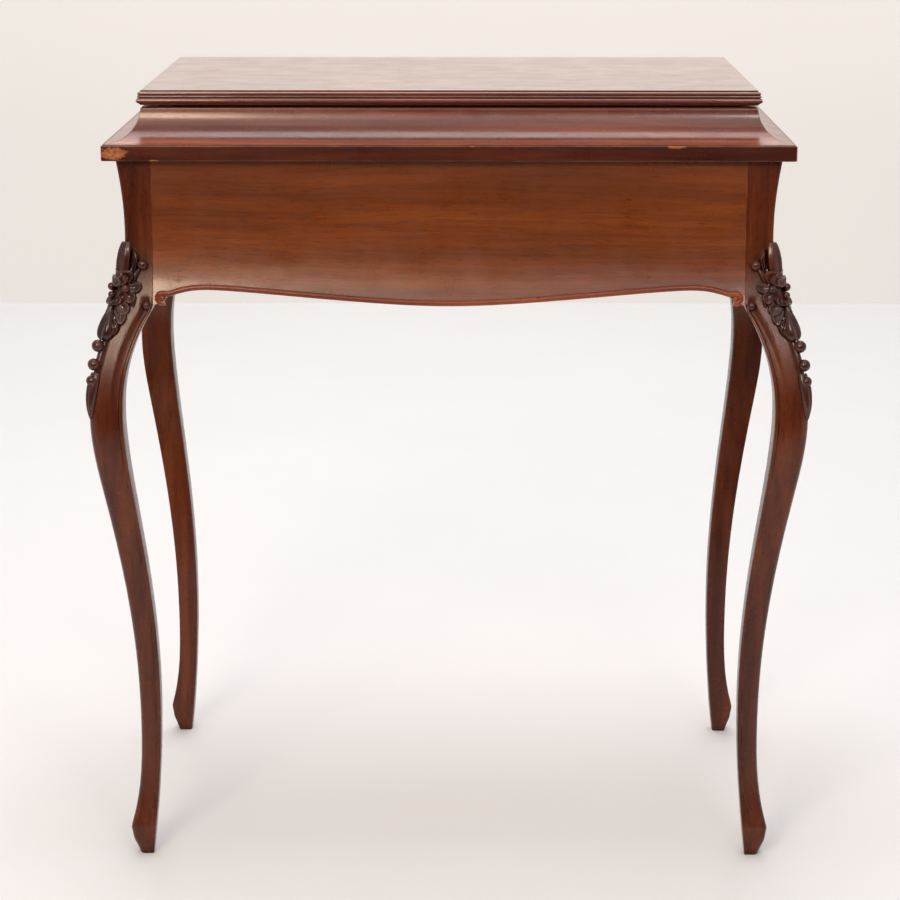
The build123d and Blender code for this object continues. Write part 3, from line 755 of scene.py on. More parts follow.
# ------------------------------------------------------------------ joinery that keeps its CAD shape
@dataclass
class EasedJoinery:
    """Planed and moulded members, with the arrises eased as sandpaper leaves them."""

    ease: float = 0.45           # width of the eased arris, mm
    flat_degrees: float = 0.2    # faces that turn less than this are one flat
    arris_degrees: float = 32.0  # edges that turn more than this are eased
    merge: float = 0.002         # vertices nearer than this are one, mm
    flat_weight: int = 90        # how far large faces set the shading of their arrises

    def make(self, node: str, material: Material, ease: float | None = None,
             top: Material | None = None, level: float = 0.98) -> None:
        """Copies a CAD node, merges it, eases its arrises and dresses it.

        Args:
            node: CAD node to stand for.
            material: its finish.
            ease: width of the eased arris where it differs, mm.
            top: finish of its upper faces where that differs.
            level: upward share of a face's normal from which it counts as upper.
        """
        work = bmesh.new()
        work.from_mesh(frame["nodes"][node].data)
        bmesh.ops.remove_doubles(work, verts=work.verts, dist=self.merge * MM)
        bmesh.ops.dissolve_limit(work, angle_limit=math.radians(self.flat_degrees),
                                 verts=work.verts, edges=work.edges)
        piece = bmesh_object(node + "_finished", work)
        paint(piece, material)
        modify(piece, "eased", "BEVEL", width=(ease or self.ease) * MM, segments=2,
               limit_method="ANGLE", angle_limit=math.radians(self.arris_degrees),
               use_clamp_overlap=False)
        applied(piece)
        soften(piece.data)
        modify(piece, "true_flats", "WEIGHTED_NORMAL", weight=self.flat_weight, keep_sharp=True)
        applied(piece)
        if top:
            paint(piece, material, top)
            for polygon in piece.data.polygons:
                polygon.material_index = int(polygon.normal.z > level)
        stand_for(piece, node)


# ------------------------------------------------------------------ legs
@dataclass
class LegShape:
    """Outline of one leg, read from its CAD node by level cuts.

    Offsets run outwards from the middle of the table, so all four legs read alike.
    """

    node: str
    step: float = 2.5            # between cuts, mm
    near_share: float = 0.3      # of the width: the cut's part that no carving reaches
    clear_low: float = 34.0      # between here and clear_high below the top the outline is
    clear_high: float = 8.0      # smoothed, mm

    def __post_init__(self) -> None:
        """Cuts the node and keeps the inner and outer face at each level."""
        low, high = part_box(self.node)
        self.sign = Vector((math.copysign(1, low.x + high.x), math.copysign(1, low.y + high.y), 1))
        places, triangles = node_arrays(self.node)
        places = places * np.array([self.sign.x, self.sign.y, 1.0])
        top = float(high.z)
        count = int(round(top / (self.step * MM)))
        self.levels = np.linspace(0.15 * MM, top - 0.15 * MM, count)
        rows = []
        for level in self.levels:
            cut = level_cut(places, triangles, 2, level)
            inner = cut.min(axis=0)[:2]
            width = (cut.max(axis=0)[:2] - inner).min()
            near_y = cut[:, 1] < inner[1] + self.near_share * width
            near_x = cut[:, 0] < inner[0] + self.near_share * width
            rows.append((inner[0], inner[1], cut[near_y, 0].max(), cut[near_x, 1].max()))
        table = np.array(rows)
        free = (self.levels > self.clear_low * MM) & (self.levels < top - self.clear_high * MM)
        for _ in range(3):
            smooth = table.copy()
            smooth[1:-1] = (table[:-2] + 2 * table[1:-1] + table[2:]) / 4
            table[free] = smooth[free]
        self.levels[0] = 0.0
        self.levels[-1] = top
        self.table = table

    def at(self, level: float) -> tuple[float, float, float, float]:
        """Inner x, inner y, outer x and outer y at one height, metres."""
        return tuple(float(np.interp(level, self.levels, self.table[:, i])) for i in range(4))


@dataclass
class Carving:
    """One carved petal, leaf or stem, laid on the developed knee.

    Across is measured from the leg's corner ridge towards the front or back face, and up from
    the lowest line of the aprons, all in mm.
    """

    root: tuple[float, float]
    tip: tuple[float, float]
    width: float
    height: float
    crease: float = 0.0          # depth of the middle vein
    veins: int = 0
    bow: float = 0.0             # sideways bend of the middle line
    lift: float = 0.0            # how much further the tip stands out
    blunt: float = 0.55          # 1 is pointed, 0.4 is round
    belly: float = 0.5           # where along it the leaf is widest
    cup: float = 0.0             # how deep a petal is dished, as a share of its height
    twin: bool = True            # repeated on the other face


PETAL = dict(cup=0.6, blunt=0.34, belly=0.6)    # dished and round, as the flower's petals are
KNEE_LEAVES = (
    Carving((0.0, 34), (0.0, -32), 33.0, 2.4, blunt=0.4, veins=4, twin=False),
    Carving((0.0, 22), (0.0, 57), 14.0, 7.2, crease=1.8, veins=3, blunt=0.1, lift=1.0, twin=False),
    Carving((9.5, 30), (8.0, 51), 6.0, 5.8, crease=2.0, bow=-1.8, lift=1.6),
    Carving((11.0, 17), (16.5, 36), 7.0, 4.6, crease=1.6, bow=2.4),
    Carving((5.0, 19), (3.5, 31), 15.0, 8.6, lift=1.0, **PETAL),
    Carving((8.5, 16), (19.5, 16.5), 11.5, 6.8, lift=0.8, **PETAL),
    Carving((8.0, 12), (15.5, 3), 10.5, 6.8, lift=0.8, **PETAL),
    Carving((5.0, 12), (6.0, 0), 10.0, 8.2, lift=1.0, **PETAL),
    Carving((1.5, 17), (-5.0, 25), 10.0, 9.8, lift=1.4, **PETAL),
    Carving((0.5, 10), (-3.5, 0), 9.5, 9.6, lift=1.4, **PETAL),
    Carving((0.0, 4), (0.0, -30), 24.0, 4.4, blunt=0.4, veins=3, belly=0.4, twin=False),
    Carving((0.0, 0), (0.0, -31), 14.0, 8.6, crease=3.2, veins=2, blunt=0.3, belly=0.74, lift=4.4,
            twin=False),
    Carving((4.0, 2), (13.0, -7), 11.5, 7.0, cup=0.5, blunt=0.36, belly=0.6, lift=0.8),
    Carving((3.5, -4), (11.5, -16), 9.5, 6.8, cup=0.5, blunt=0.36, bow=1.6, belly=0.6, lift=1.2),
    Carving((3.0, -11), (8.5, -26), 8.0, 7.0, crease=2.2, bow=1.2, belly=0.6, lift=2.2),
    Carving((10.5, 7), (17.5, -1), 6.0, 4.2, crease=1.6, bow=1.2),
    Carving((0.0, -59), (0.0, -101), 11.0, 6.4, crease=1.0, blunt=0.5, belly=0.24, twin=False),
    Carving((0.0, -28), (0.0, -66), 7.0, 3.0, blunt=0.3, twin=False),
)
# Berries: (across, up, radius, how far the middle stands out), mm
KNEE_BERRIES = (
    (17.0, 36.5, 5.0, 2.4),
    (6.5, 14.5, 3.8, 6.4),
    (0.0, 8.5, 3.2, 8.2),
    (0.0, -36.0, 5.7, 6.2),
    (0.0, -52.0, 5.6, 5.2),
    (0.0, -66.0, 5.0, 3.8),
)


@dataclass
class CabrioleLegs:
    """Four bandy legs: square in section, a carved knee, a beaded inner edge and a hoof toe."""

    bead_width: float = 3.6      # bead along the edge next to the aprons
    bead_sink: float = 2.2
    hollow_width: float = 7.6    # hollow between the bead and the leg's face
    hollow_depth: float = 2.8
    edge_start: float = 8.0      # bead and hollow start above the aprons' lowest line
    edge_rise: float = 10.0      # and come to full depth over this height
    hollow_run: tuple[float, float] = (30.0, 80.0)    # full down to here, then fading over that
    bead_run: tuple[float, float] = (40.0, 120.0)
    bead_foot: float = 0.35      # share of the bead that runs on down to the toe
    toe_cuts: tuple[float, float] = (22.0, 62.0)      # lowest and highest, above the floor
    toe_point: tuple[float, float] = (9.0, 26.0)      # where they meet: from the ridge, up
    toe_slope: float = 4.2
    toe_depth: float = 0.8
    pearl_radius: float = 4.3
    pearl_inset: float = 5.4     # of the pearl from the inner edge
    pearl_sink: float = 0.6
    berry_segments: int = 16
    across_steps: int = 30
    leaf_steps: int = 18         # rings from root to tip
    leaf_around: int = 20        # vertices over a leaf, from edge to edge
    leaf_edge: float = -0.6      # its edge dips this far into the wood, mm
    leaf_back: float = -1.6      # and its back lies this deep
    ridge: tuple[tuple[float, float], ...] = ((0.0, 6.5), (0.05, 5.0), (0.12, 7.0), (0.5, 7.5),
                                              (0.85, 9.0), (0.99, 9.0), (1.08, 5.0), (1.14, 2.4),
                                              (1.3, 2.0))

    def build(self, wood: Material, carved: Material) -> None:
        """Makes and dresses the four legs.

        Args:
            wood: finish of the leg's faces.
            carved: finish of the carving, with more dirt and painted shade in its depths.
        """
        self.apron_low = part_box("apron_front")[0].z
        self.beads = bead_group()
        for end in ("front", "back"):
            for side in SIDES:
                self._leg(LegShape(f"leg_{end}_{side}"), wood, carved)

    def _ridge_radius(self, level: float) -> float:
        """Radius of the outer corner at one height, metres."""
        shares, radii = zip(*self.ridge)
        return float(np.interp(level / self.apron_low, shares, radii)) * MM

    def _edge_profile(self, across: float, level: float) -> float:
        """Sinking of a face near its inner edge: a bead, then a hollow, fading down the leg.

        Args:
            across: distance from the inner edge, mm.
            level: height, metres.

        Returns:
            Offset outwards, mm, so negative where the face sinks.
        """
        below = (self.apron_low - level) / MM
        if below < -self.edge_start:
            return 0.0
        start = min(1.0, (below + self.edge_start) / self.edge_rise)
        fades = [max(0.0, 1 - max(0.0, below - full) / fade)
                 for full, fade in (self.hollow_run, self.bead_run)]
        hollow = start * fades[0]
        bead = start * (self.bead_foot + (1 - self.bead_foot) * fades[1])
        end = self.bead_width + self.hollow_width
        if across < self.bead_width:
            half = self.bead_width / 2
            crown = math.sqrt(max(0.0, 1 - ((across - half) / half) ** 2))
            return -self.bead_sink * bead * (1 - crown)
        groove = -self.bead_sink * bead * math.exp(-((across - self.bead_width) / 0.8) ** 2)
        lip = 0.5 * hollow * math.exp(-((across - end) / 1.1) ** 2)
        if across < end:
            share = (across - self.bead_width) / self.hollow_width
            return min(groove, lip - self.hollow_depth * hollow * (1 - share ** 2.2))
        return groove + lip

    def _toe_marks(self, across: float, level: float) -> float:
        """Two shallow gouge cuts that meet in a V above the toe.

        Args:
            across: distance from the corner ridge, mm.
            level: height, metres.

        Returns:
            Offset outwards, mm.
        """
        up = level / MM
        low, high = self.toe_cuts
        if not low < up < high:
            return 0.0
        line = self.toe_point[1] + abs(across - self.toe_point[0]) * self.toe_slope
        fade = max(0.0, 1 - abs(up - 40) / 22)
        return -self.toe_depth * fade * math.exp(-((up - line) / 3.2) ** 2)

    def _section(self, shape: LegShape, level: float) -> list[tuple[float, float]]:
        """Closed outline of the leg at one height.

        Args:
            shape: the leg's outline.
            level: height, metres.

        Returns:
            Points as outward offsets x, y, in metres, the same number at every height.
        """
        ax, ay, bx, by = shape.at(level)
        width = min(bx - ax, by - ay)
        ridge = min(self._ridge_radius(level), 0.42 * width)
        free = min(1.0, max(0.0, (self.apron_low - level) / (14 * MM)))
        small = (0.25 + 1.1 * free) * MM
        back = (0.3 + 3.2 * free) * MM
        shares = [(i / self.across_steps) ** 1.45 for i in range(1, self.across_steps + 1)]
        outline = []

        def arc(cx: float, cy: float, radius: float, start: float, steps: int) -> None:
            """Adds a quarter turn, clockwise from a start in degrees, to the outline."""
            for i in range(steps + 1):
                angle = math.radians(start - 90 * i / steps)
                outline.append((cx + radius * math.cos(angle), cy + radius * math.sin(angle)))

        arc(ax + small, by - small, small, 180, 4)
        flat = (bx - ridge) - (ax + small)
        face = []
        for share in shares[:-1]:
            across = (small + flat * share) / MM
            sink = self._edge_profile(across, level) + self._toe_marks((width / MM) - across, level)
            face.append((flat * share, sink * MM))
        outline.extend((ax + small + run, by + sink) for run, sink in face)
        arc(bx - ridge, by - ridge, ridge, 90, 10)
        drop = (by - ridge) - (ay + small)
        outline.extend((bx + sink, ay + small + drop * run / flat) for run, sink in reversed(face))
        arc(bx - small, ay + small, small, 0, 4)
        arc(ax + back, ay + back, back, 270, 4)
        return outline

    def _knee_point(self, shape: LegShape, across: float, level: float, out: float) -> Vector:
        """A place on the developed knee.

        Args:
            shape: the leg's outline.
            across: distance round from the corner ridge, mm, positive on the front or back face.
            level: height, metres.
            out: height above the surface, mm.

        Returns:
            The place in the frame, metres.
        """
        ax, ay, bx, by = shape.at(level)
        ridge = self._ridge_radius(level)
        slope = (shape.at(level + 2 * MM)[2] - shape.at(level - 2 * MM)[2]) / (4 * MM)
        turn = min(math.pi / 4, abs(across) * MM / ridge)
        rest = max(0.0, abs(across) * MM - ridge * math.pi / 4)
        angle = math.pi / 4 + math.copysign(turn, across)
        nx, ny = math.cos(angle), math.sin(angle)
        x = bx - ridge + ridge * nx - (rest if across > 0 else 0.0)
        y = by - ridge + ridge * ny - (rest if across < 0 else 0.0)
        normal = Vector((nx, ny, -slope)).normalized() * out * MM
        place = Vector((x, y, level)) + normal
        return Vector((place.x * shape.sign.x, place.y * shape.sign.y, place.z))

    def _leaf(self, work: BMesh, shape: LegShape, leaf: Carving, flip: int) -> None:
        """Lofts one carved leaf, closed underneath inside the wood.

        Args:
            work: mesh that it joins.
            shape: the leg's outline.
            leaf: the leaf.
            flip: 1 on the front or back face, -1 on the side face.
        """
        root, tip = Vector(leaf.root), Vector(leaf.tip)
        run = tip - root
        aside = Vector((-run.y, run.x)).normalized()
        around = self.leaf_around
        rings = []
        for i in range(self.leaf_steps + 1):
            t = i / self.leaf_steps
            middle = root + run * t + aside * leaf.bow * math.sin(math.pi * t)
            along = (t * 0.94 + 0.05) ** (math.log(0.5) / math.log(leaf.belly))
            spread = max(0.02, math.sin(math.pi * min(1.0, along)) ** leaf.blunt)
            half = leaf.width / 2 * spread
            swell = math.sin(math.pi * min(1.0, t * 0.8 + 0.16)) ** 0.6
            if leaf.cup:
                swell = math.sin(math.pi * (0.2 + 0.52 * t)) ** 0.6
            hollow = leaf.cup * math.sin(math.pi * min(1.0, 0.12 + t * 0.8)) ** 0.9
            ring = []
            for j in range(around):
                v = -1 + 2 * j / (around - 1)
                full = (1 - abs(v) ** 6) ** 0.5 if leaf.cup else (1 - abs(v) ** 2.6) ** 0.8
                dome = leaf.height * swell * (full - hollow * max(0.0, 1 - v * v) ** 1.2)
                vein = leaf.crease * swell * math.exp(-(v / 0.16) ** 2)
                ribs = 1.1 * math.sin(math.pi * leaf.veins * abs(v)) ** 2 if leaf.veins else 0.0
                out = dome - vein - ribs * swell + leaf.lift * t * t * spread
                spot = middle + aside * half * v
                ring.append((spot.x, spot.y, max(out, self.leaf_edge)))
            for j in range(around - 2, 0, -3):
                v = -1 + 2 * j / (around - 1)
                spot = middle + aside * half * v * 0.9
                ring.append((spot.x, spot.y, self.leaf_back))
            rings.append([work.verts.new(self._knee_point(shape, a * flip, self.apron_low + u * MM, o))
                          for a, u, o in ring])
        loft(work, rings)

    def _leg(self, shape: LegShape, wood: Material, carved: Material) -> None:
        """Lofts one leg and carves its knee.

        Args:
            shape: the leg's outline.
            wood: finish of the faces.
            carved: finish of the carving.
        """
        work = bmesh.new()
        rings = [[work.verts.new((x * shape.sign.x, y * shape.sign.y, level))
                  for x, y in self._section(shape, float(level))] for level in shape.levels]
        loft(work, rings)
        plain = len(work.faces)
        for leaf in KNEE_LEAVES:
            for flip in ((1, -1) if leaf.twin else (1,)):
                self._leaf(work, shape, leaf, flip)
        work.faces.ensure_lookup_table()
        for face in work.faces[plain:]:
            face.material_index = 1
        work.from_mesh(self._berries(shape))
        bmesh.ops.recalc_face_normals(work, faces=work.faces)
        piece = bmesh_object(shape.node + "_carved", work)
        paint(piece, wood, carved)
        soften(piece.data, 50)
        stand_for(piece, shape.node)

    def _berries(self, shape: LegShape) -> Mesh:
        """Berries of the knee and the pearl on each beaded edge, as one mesh."""
        spots, radii = [], []
        for across, up, radius, out in KNEE_BERRIES:
            for flip in ((1, -1) if across else (1,)):
                spots.append(self._knee_point(shape, across * flip, self.apron_low + up * MM, out))
                radii.append(radius * MM)
        level = self.apron_low + 0.5 * MM
        ax, ay, bx, by = shape.at(level)
        inset, sink = self.pearl_inset * MM, self.pearl_sink * MM
        for x, y in ((ax + inset, by - sink), (bx - sink, ay + inset)):
            spots.append(Vector((x * shape.sign.x, y * shape.sign.y, level)))
            radii.append(self.pearl_radius * MM)
        holder = points_object("berries_holder", spots, radii)
        run_group(holder, self.beads, Segments=self.berry_segments)
        mesh = holder.data
        for polygon in mesh.polygons:
            polygon.material_index = 1
        bpy.data.objects.remove(holder)
        return mesh


# ------------------------------------------------------------------ apron beads
@dataclass
class ApronBeads:
    """A rounded bead along the lower edge of each apron, rolled into a pearl at both ends."""

    height: float = 5.2
    reach: float = 2.5
    stations: int = 72
    pearl_radius: float = 3.1
    scroll_radius: float = 4.4   # the bead rolls round the pearl at this distance
    pearl_inset: float = 6.6     # from the apron's shoulder
    pearl_rise: float = 6.9      # above the lowest line of the aprons

    def build(self, wood: Material) -> None:
        """Makes and dresses the four beads."""
        sweep = moulding_group()
        pearls = bead_group()
        for face in FACES:
            node = "apron_bead_" + face
            path, ends = self._path(node, 0 if face in ("front", "back") else 1)
            piece = points_object(node + "_swept", path, joined=True)
            run_group(piece, sweep, Height=self.height * MM, Reach=self.reach * MM, Material=wood)
            balls = points_object("pearls_holder", ends, [self.pearl_radius * MM] * 2)
            run_group(balls, pearls, Segments=18, Material=wood)
            work = bmesh.new()
            work.from_mesh(piece.data)
            work.from_mesh(balls.data)
            bpy.data.objects.remove(balls)
            bmesh.ops.recalc_face_normals(work, faces=work.faces)
            piece.data = from_bmesh(node + "_swept", work)
            paint(piece, wood)
            soften(piece.data, 60)
            stand_for(piece, node)

    def _path(self, node: str, axis: int) -> tuple[list[Vector], list[Vector]]:
        """Middle line of a bead, read from its CAD node.

        Args:
            node: the bead's CAD node.
            axis: 0 if it runs along X, 1 along Y.

        Returns:
            The path, and the middles of the two end pearls.
        """
        places, triangles = node_arrays(node)
        low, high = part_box(node)
        other = 1 - axis
        outward = math.copysign(1, low[other] + high[other])
        inset = (self.pearl_inset + self.scroll_radius + 1.5) * MM
        spots = []
        for i in range(self.stations + 1):
            level = low[axis] + inset + (high[axis] - low[axis] - 2 * inset) * i / self.stations
            cut = level_cut(places, triangles, axis, level)
            spot = Vector((0, 0, 0))
            spot[axis] = level
            spot[other] = outward * (np.abs(cut[:, other]).max() - self.reach * MM)
            spot.z = cut[:, 2].min() + self.height / 2 * MM
            spots.append(spot)
        for _ in range(6):
            eased = [spots[0]] + [(a + 2 * b + c) / 4 for a, b, c in zip(spots, spots[1:], spots[2:])]
            spots = eased + [spots[-1]]
        ends = []
        scrolls = []
        for edge, outwards, near in ((low[axis], -1, spots[0]), (high[axis], 1, spots[-1])):
            pearl = near.copy()
            pearl[axis] = edge - outwards * self.pearl_inset * MM
            pearl.z = low.z + self.pearl_rise * MM
            ends.append(pearl)
            scroll = []
            for degrees in range(105, -125, -10):
                spot = pearl.copy()
                angle = math.radians(degrees)
                spot[axis] += outwards * math.cos(angle) * self.scroll_radius * MM
                spot.z += math.sin(angle) * self.scroll_radius * MM
                scroll.append(spot)
            scrolls.append(scroll)
        return list(reversed(scrolls[0])) + spots + scrolls[1], ends


# ------------------------------------------------------------------ tray fittings
@dataclass
class Pincushion:
    """A velvet cushion, stuffed with bran, that fills its own bay in the tray."""

    voxel: float = 5.0
    start_share: float = 0.93    # of the bay, before it swells
    start_height: float = 0.86   # the same, upwards
    corner: float = 4.0
    crown: float = 7.0           # most that it may swell, mm
    rise: float = 2.2            # of its middle above the bay
    fall: float = 4.5            # of its edge below the rise
    square: float = 2.6          # higher makes a flatter middle
    dimple: float = 0.5          # unevenness of the stuffing
    dimples_per_metre: float = 38.0
    frames: int = 20
    pressure: float = 4.0

    def build(self, velvet: Material) -> None:
        """Makes, swells and dresses the cushion."""
        low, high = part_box("pincushion")
        middle = (low + high) / 2
        size = high - low
        work = bmesh.new()
        bmesh.ops.create_cube(work, size=1.0)
        for vertex in work.verts:
            vertex.co = Vector((vertex.co.x * size.x * self.start_share,
                                vertex.co.y * size.y * self.start_share,
                                vertex.co.z * size.z * self.start_height)) + middle
        piece = bmesh_object("pincushion_velvet", work)
        modify(piece, "corners", "BEVEL", width=self.corner * MM, segments=3)
        modify(piece, "cloth_grid", "REMESH", mode="VOXEL", voxel_size=self.voxel * MM)
        applied(piece)
        self._swell(piece)
        modify(piece, "fine", "SUBSURF", levels=1, render_levels=1)
        applied(piece)
        self._settle(piece, low, high)
        paint(piece, velvet)
        piece.data.shade_smooth()
        stand_for(piece, "pincushion")

    def _swell(self, piece: Piece) -> None:
        """Blows the cover up with cloth pressure and caps how far each point moves."""
        rest = [vertex.co.copy() for vertex in piece.data.vertices]
        cloth = piece.modifiers.new("cover", "CLOTH")
        cloth.settings.quality = 6
        cloth.settings.use_pressure = True
        cloth.settings.uniform_pressure_force = self.pressure
        cloth.settings.effector_weights.gravity = 0.0
        cloth.point_cache.frame_start = 1
        cloth.point_cache.frame_end = self.frames
        for step in range(1, self.frames + 1):
            bpy.context.scene.frame_set(step)
        applied(piece)
        bpy.context.scene.frame_set(1)
        for vertex, start in zip(piece.data.vertices, rest):
            move = vertex.co - start
            if move.length > self.crown * MM:
                vertex.co = start + move.normalized() * self.crown * MM

    def _settle(self, piece: Piece, low: Vector, high: Vector) -> None:
        """Presses the cover back inside its bay and crowns the top.

        Args:
            piece: the cushion.
            low: lowest corner of the bay.
            high: highest corner of the bay.
        """
        middle = (low + high) / 2
        half = (high - low) / 2
        for vertex in piece.data.vertices:
            px = max(-1.0, min(1.0, (vertex.co.x - middle.x) / half.x))
            py = max(-1.0, min(1.0, (vertex.co.y - middle.y) / half.y))
            up = (vertex.co.z - middle.z) / half.z
            crown = (1 - abs(px) ** self.square) * (1 - abs(py) ** self.square)
            if up > 0.2:
                top = high.z + (self.rise * crown - self.fall * (1 - crown) ** 2) * MM
                share = min(1.0, (up - 0.2) / 0.7)
                vertex.co.z = vertex.co.z * (1 - share) + top * share
                bump = noise.noise(vertex.co * self.dimples_per_metre)
                vertex.co.z += self.dimple * MM * bump * share
            vertex.co.z = max(vertex.co.z, low.z)
            vertex.co.x = middle.x + px * half.x * 0.995
            vertex.co.y = middle.y + py * half.y * 0.995


@dataclass
class TurnedKnobs:
    """Small lathe-turned knobs on the compartment lids."""

    # (share of the radius, share of the height) from the foot to the crown
    profile: tuple[tuple[float, float], ...] = ((0.66, 0.0), (0.72, 0.05), (0.66, 0.12), (0.46, 0.2),
                                                (0.4, 0.32), (0.5, 0.42), (0.86, 0.5), (1.0, 0.62),
                                                (0.98, 0.74), (0.8, 0.88), (0.48, 0.97), (0.2, 1.0))
    segments: int = 36

    def build(self, bone: Material) -> None:
        """Turns and dresses both knobs."""
        for side in SIDES:
            node = "compartment_knob_" + side
            low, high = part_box(node)
            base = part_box("compartment_lid_" + side)[1].z
            middle = (low + high) / 2
            radius = (high.x - low.x) / 2
            profile = [(radius * share, base + (high.z - base) * rise)
                       for share, rise in self.profile]
            work = bmesh.new()
            loft(work, turned_rings(work, middle, profile, self.segments))
            bmesh.ops.recalc_face_normals(work, faces=work.faces)
            piece = bmesh_object(node + "_turned", work)
            modify(piece, "fine", "SUBSURF", levels=1, render_levels=1)
            applied(piece)
            paint(piece, bone)
            piece.data.shade_smooth()
            stand_for(piece, node)


# ------------------------------------------------------------------ hinges
@dataclass
class HingeFittings:
    """Brass butt hinges with slotted countersunk screws."""

    slot_width: float = 0.7
    slot_depth: float = 0.7
    head_height: float = 1.3
    segments: int = 16

    def build(self, brass: Material) -> None:
        """Dresses the hinges and drives the screws."""
        for side in SIDES:
            for part in ("case_leaf", "lid_leaf", "pin"):
                paint(frame["nodes"][f"hinge_{side}_{part}"], brass)
        driver = screw_group()
        for node, facing, seed in (("hinge_case_screws", 0.0, 3), ("hinge_lid_screws", math.pi, 8)):
            boxes = screw_heads(node)
            low, high = boxes[0]
            master = self._screw((high.x - low.x) / 2, high.z - low.z)
            points = [Vector(((a.x + b.x) / 2, (a.y + b.y) / 2, a.z if facing else b.z))
                      for a, b in boxes]
            piece = points_object(node + "_slotted", points)
            run_group(piece, driver, Screw=master, Facing=facing, Seed=seed, Material=brass)
            bpy.data.objects.remove(master)
            soften(piece.data, 30)
            stand_for(piece, node)

    def _screw(self, radius: float, length: float) -> Piece:
        """One countersunk screw with its head's face at the origin and its shank below.

        Args:
            radius: radius of the head, metres.
            length: whole length, metres.

        Returns:
            The object to repeat.
        """
        profile = [(radius * 0.99, 0.0), (radius, -0.15 * MM), (radius * 0.48, -self.head_height * MM),
                   (radius * 0.44, -length * 0.6), (radius * 0.4, -length * 0.8),
                   (radius * 0.12, -length)]
        work = bmesh.new()
        rings = turned_rings(work, Vector(), profile, self.segments)
        loft(work, rings, first=False)
        self._slotted_face(work, rings[0], radius)
        bmesh.ops.recalc_face_normals(work, faces=work.faces)
        return bmesh_object("screw_master", work)

    def _slotted_face(self, work: BMesh, rim: list, radius: float) -> None:
        """Closes a head with a slot cut across it.

        Args:
            work: mesh of the screw.
            rim: vertices of the head's rim, in order, the first on +X.
            radius: radius of the head, metres.
        """
        count = len(rim)
        half = self.slot_width / 2 * MM
        reach = radius * 0.93
        top = {}
        deep = {}
        for sx in (-1, 1):
            for sy in (-1, 1):
                top[sx, sy] = work.verts.new((sx * reach, sy * half, 0.0))
                deep[sx, sy] = work.verts.new((sx * reach, sy * half, -self.slot_depth * MM))
        half_turn = count // 2
        work.faces.new([rim[k] for k in range(0, half_turn + 1)] + [top[-1, 1], top[1, 1]])
        work.faces.new([rim[k % count] for k in range(half_turn, count + 1)] + [top[1, -1], top[-1, -1]])
        work.faces.new((rim[0], top[1, 1], top[1, -1]))
        work.faces.new((rim[half_turn], top[-1, -1], top[-1, 1]))
        order = ((1, 1), (-1, 1), (-1, -1), (1, -1))
        for one, two in zip(order, order[1:] + order[:1]):
            work.faces.new((top[one], top[two], deep[two], deep[one]))
        work.faces.new([deep[key] for key in order])


# ------------------------------------------------------------------ stage
@dataclass(frozen=True)
class Lamp:
    """One area light: where it hangs, what it points at, its size in metres, watts and colour."""

    name: str
    place: tuple[float, float, float]
    aim: tuple[float, float, float]
    size: tuple[float, float]
    power: float
    colour: str


LAMPS = (
    Lamp("soft_box_left", (-0.85, -2.7, 1.72), (0.0, 0.0, 0.5), (0.8, 0.8), 36.0, "#ffe8cc"),
    Lamp("soft_box_right", (0.75, -2.7, 1.75), (0.0, 0.0, 0.5), (0.55, 0.3), 10.0, "#fff0ea"),
    Lamp("front_panel", (0.0, -2.2, 2.35), (0.0, -0.2, 0.5), (3.0, 1.8), 17.5, "#fff1ec"),
    Lamp("overhead", (0.0, 0.4, 2.9), (0.0, 0.4, 0.0), (1.4, 1.8), 32.0, "#fff6f4"),
    Lamp("back_box", (0.0, 1.95, 2.75), (0.0, -0.2, 0.7), (1.6, 1.4), 14.0, "#fff6f2"),
    Lamp("wall_wash", (0.0, 3.0, 3.6), (0.0, 5.4, 0.3), (3.4, 1.6), 42.0, "#fff6f0"),
)


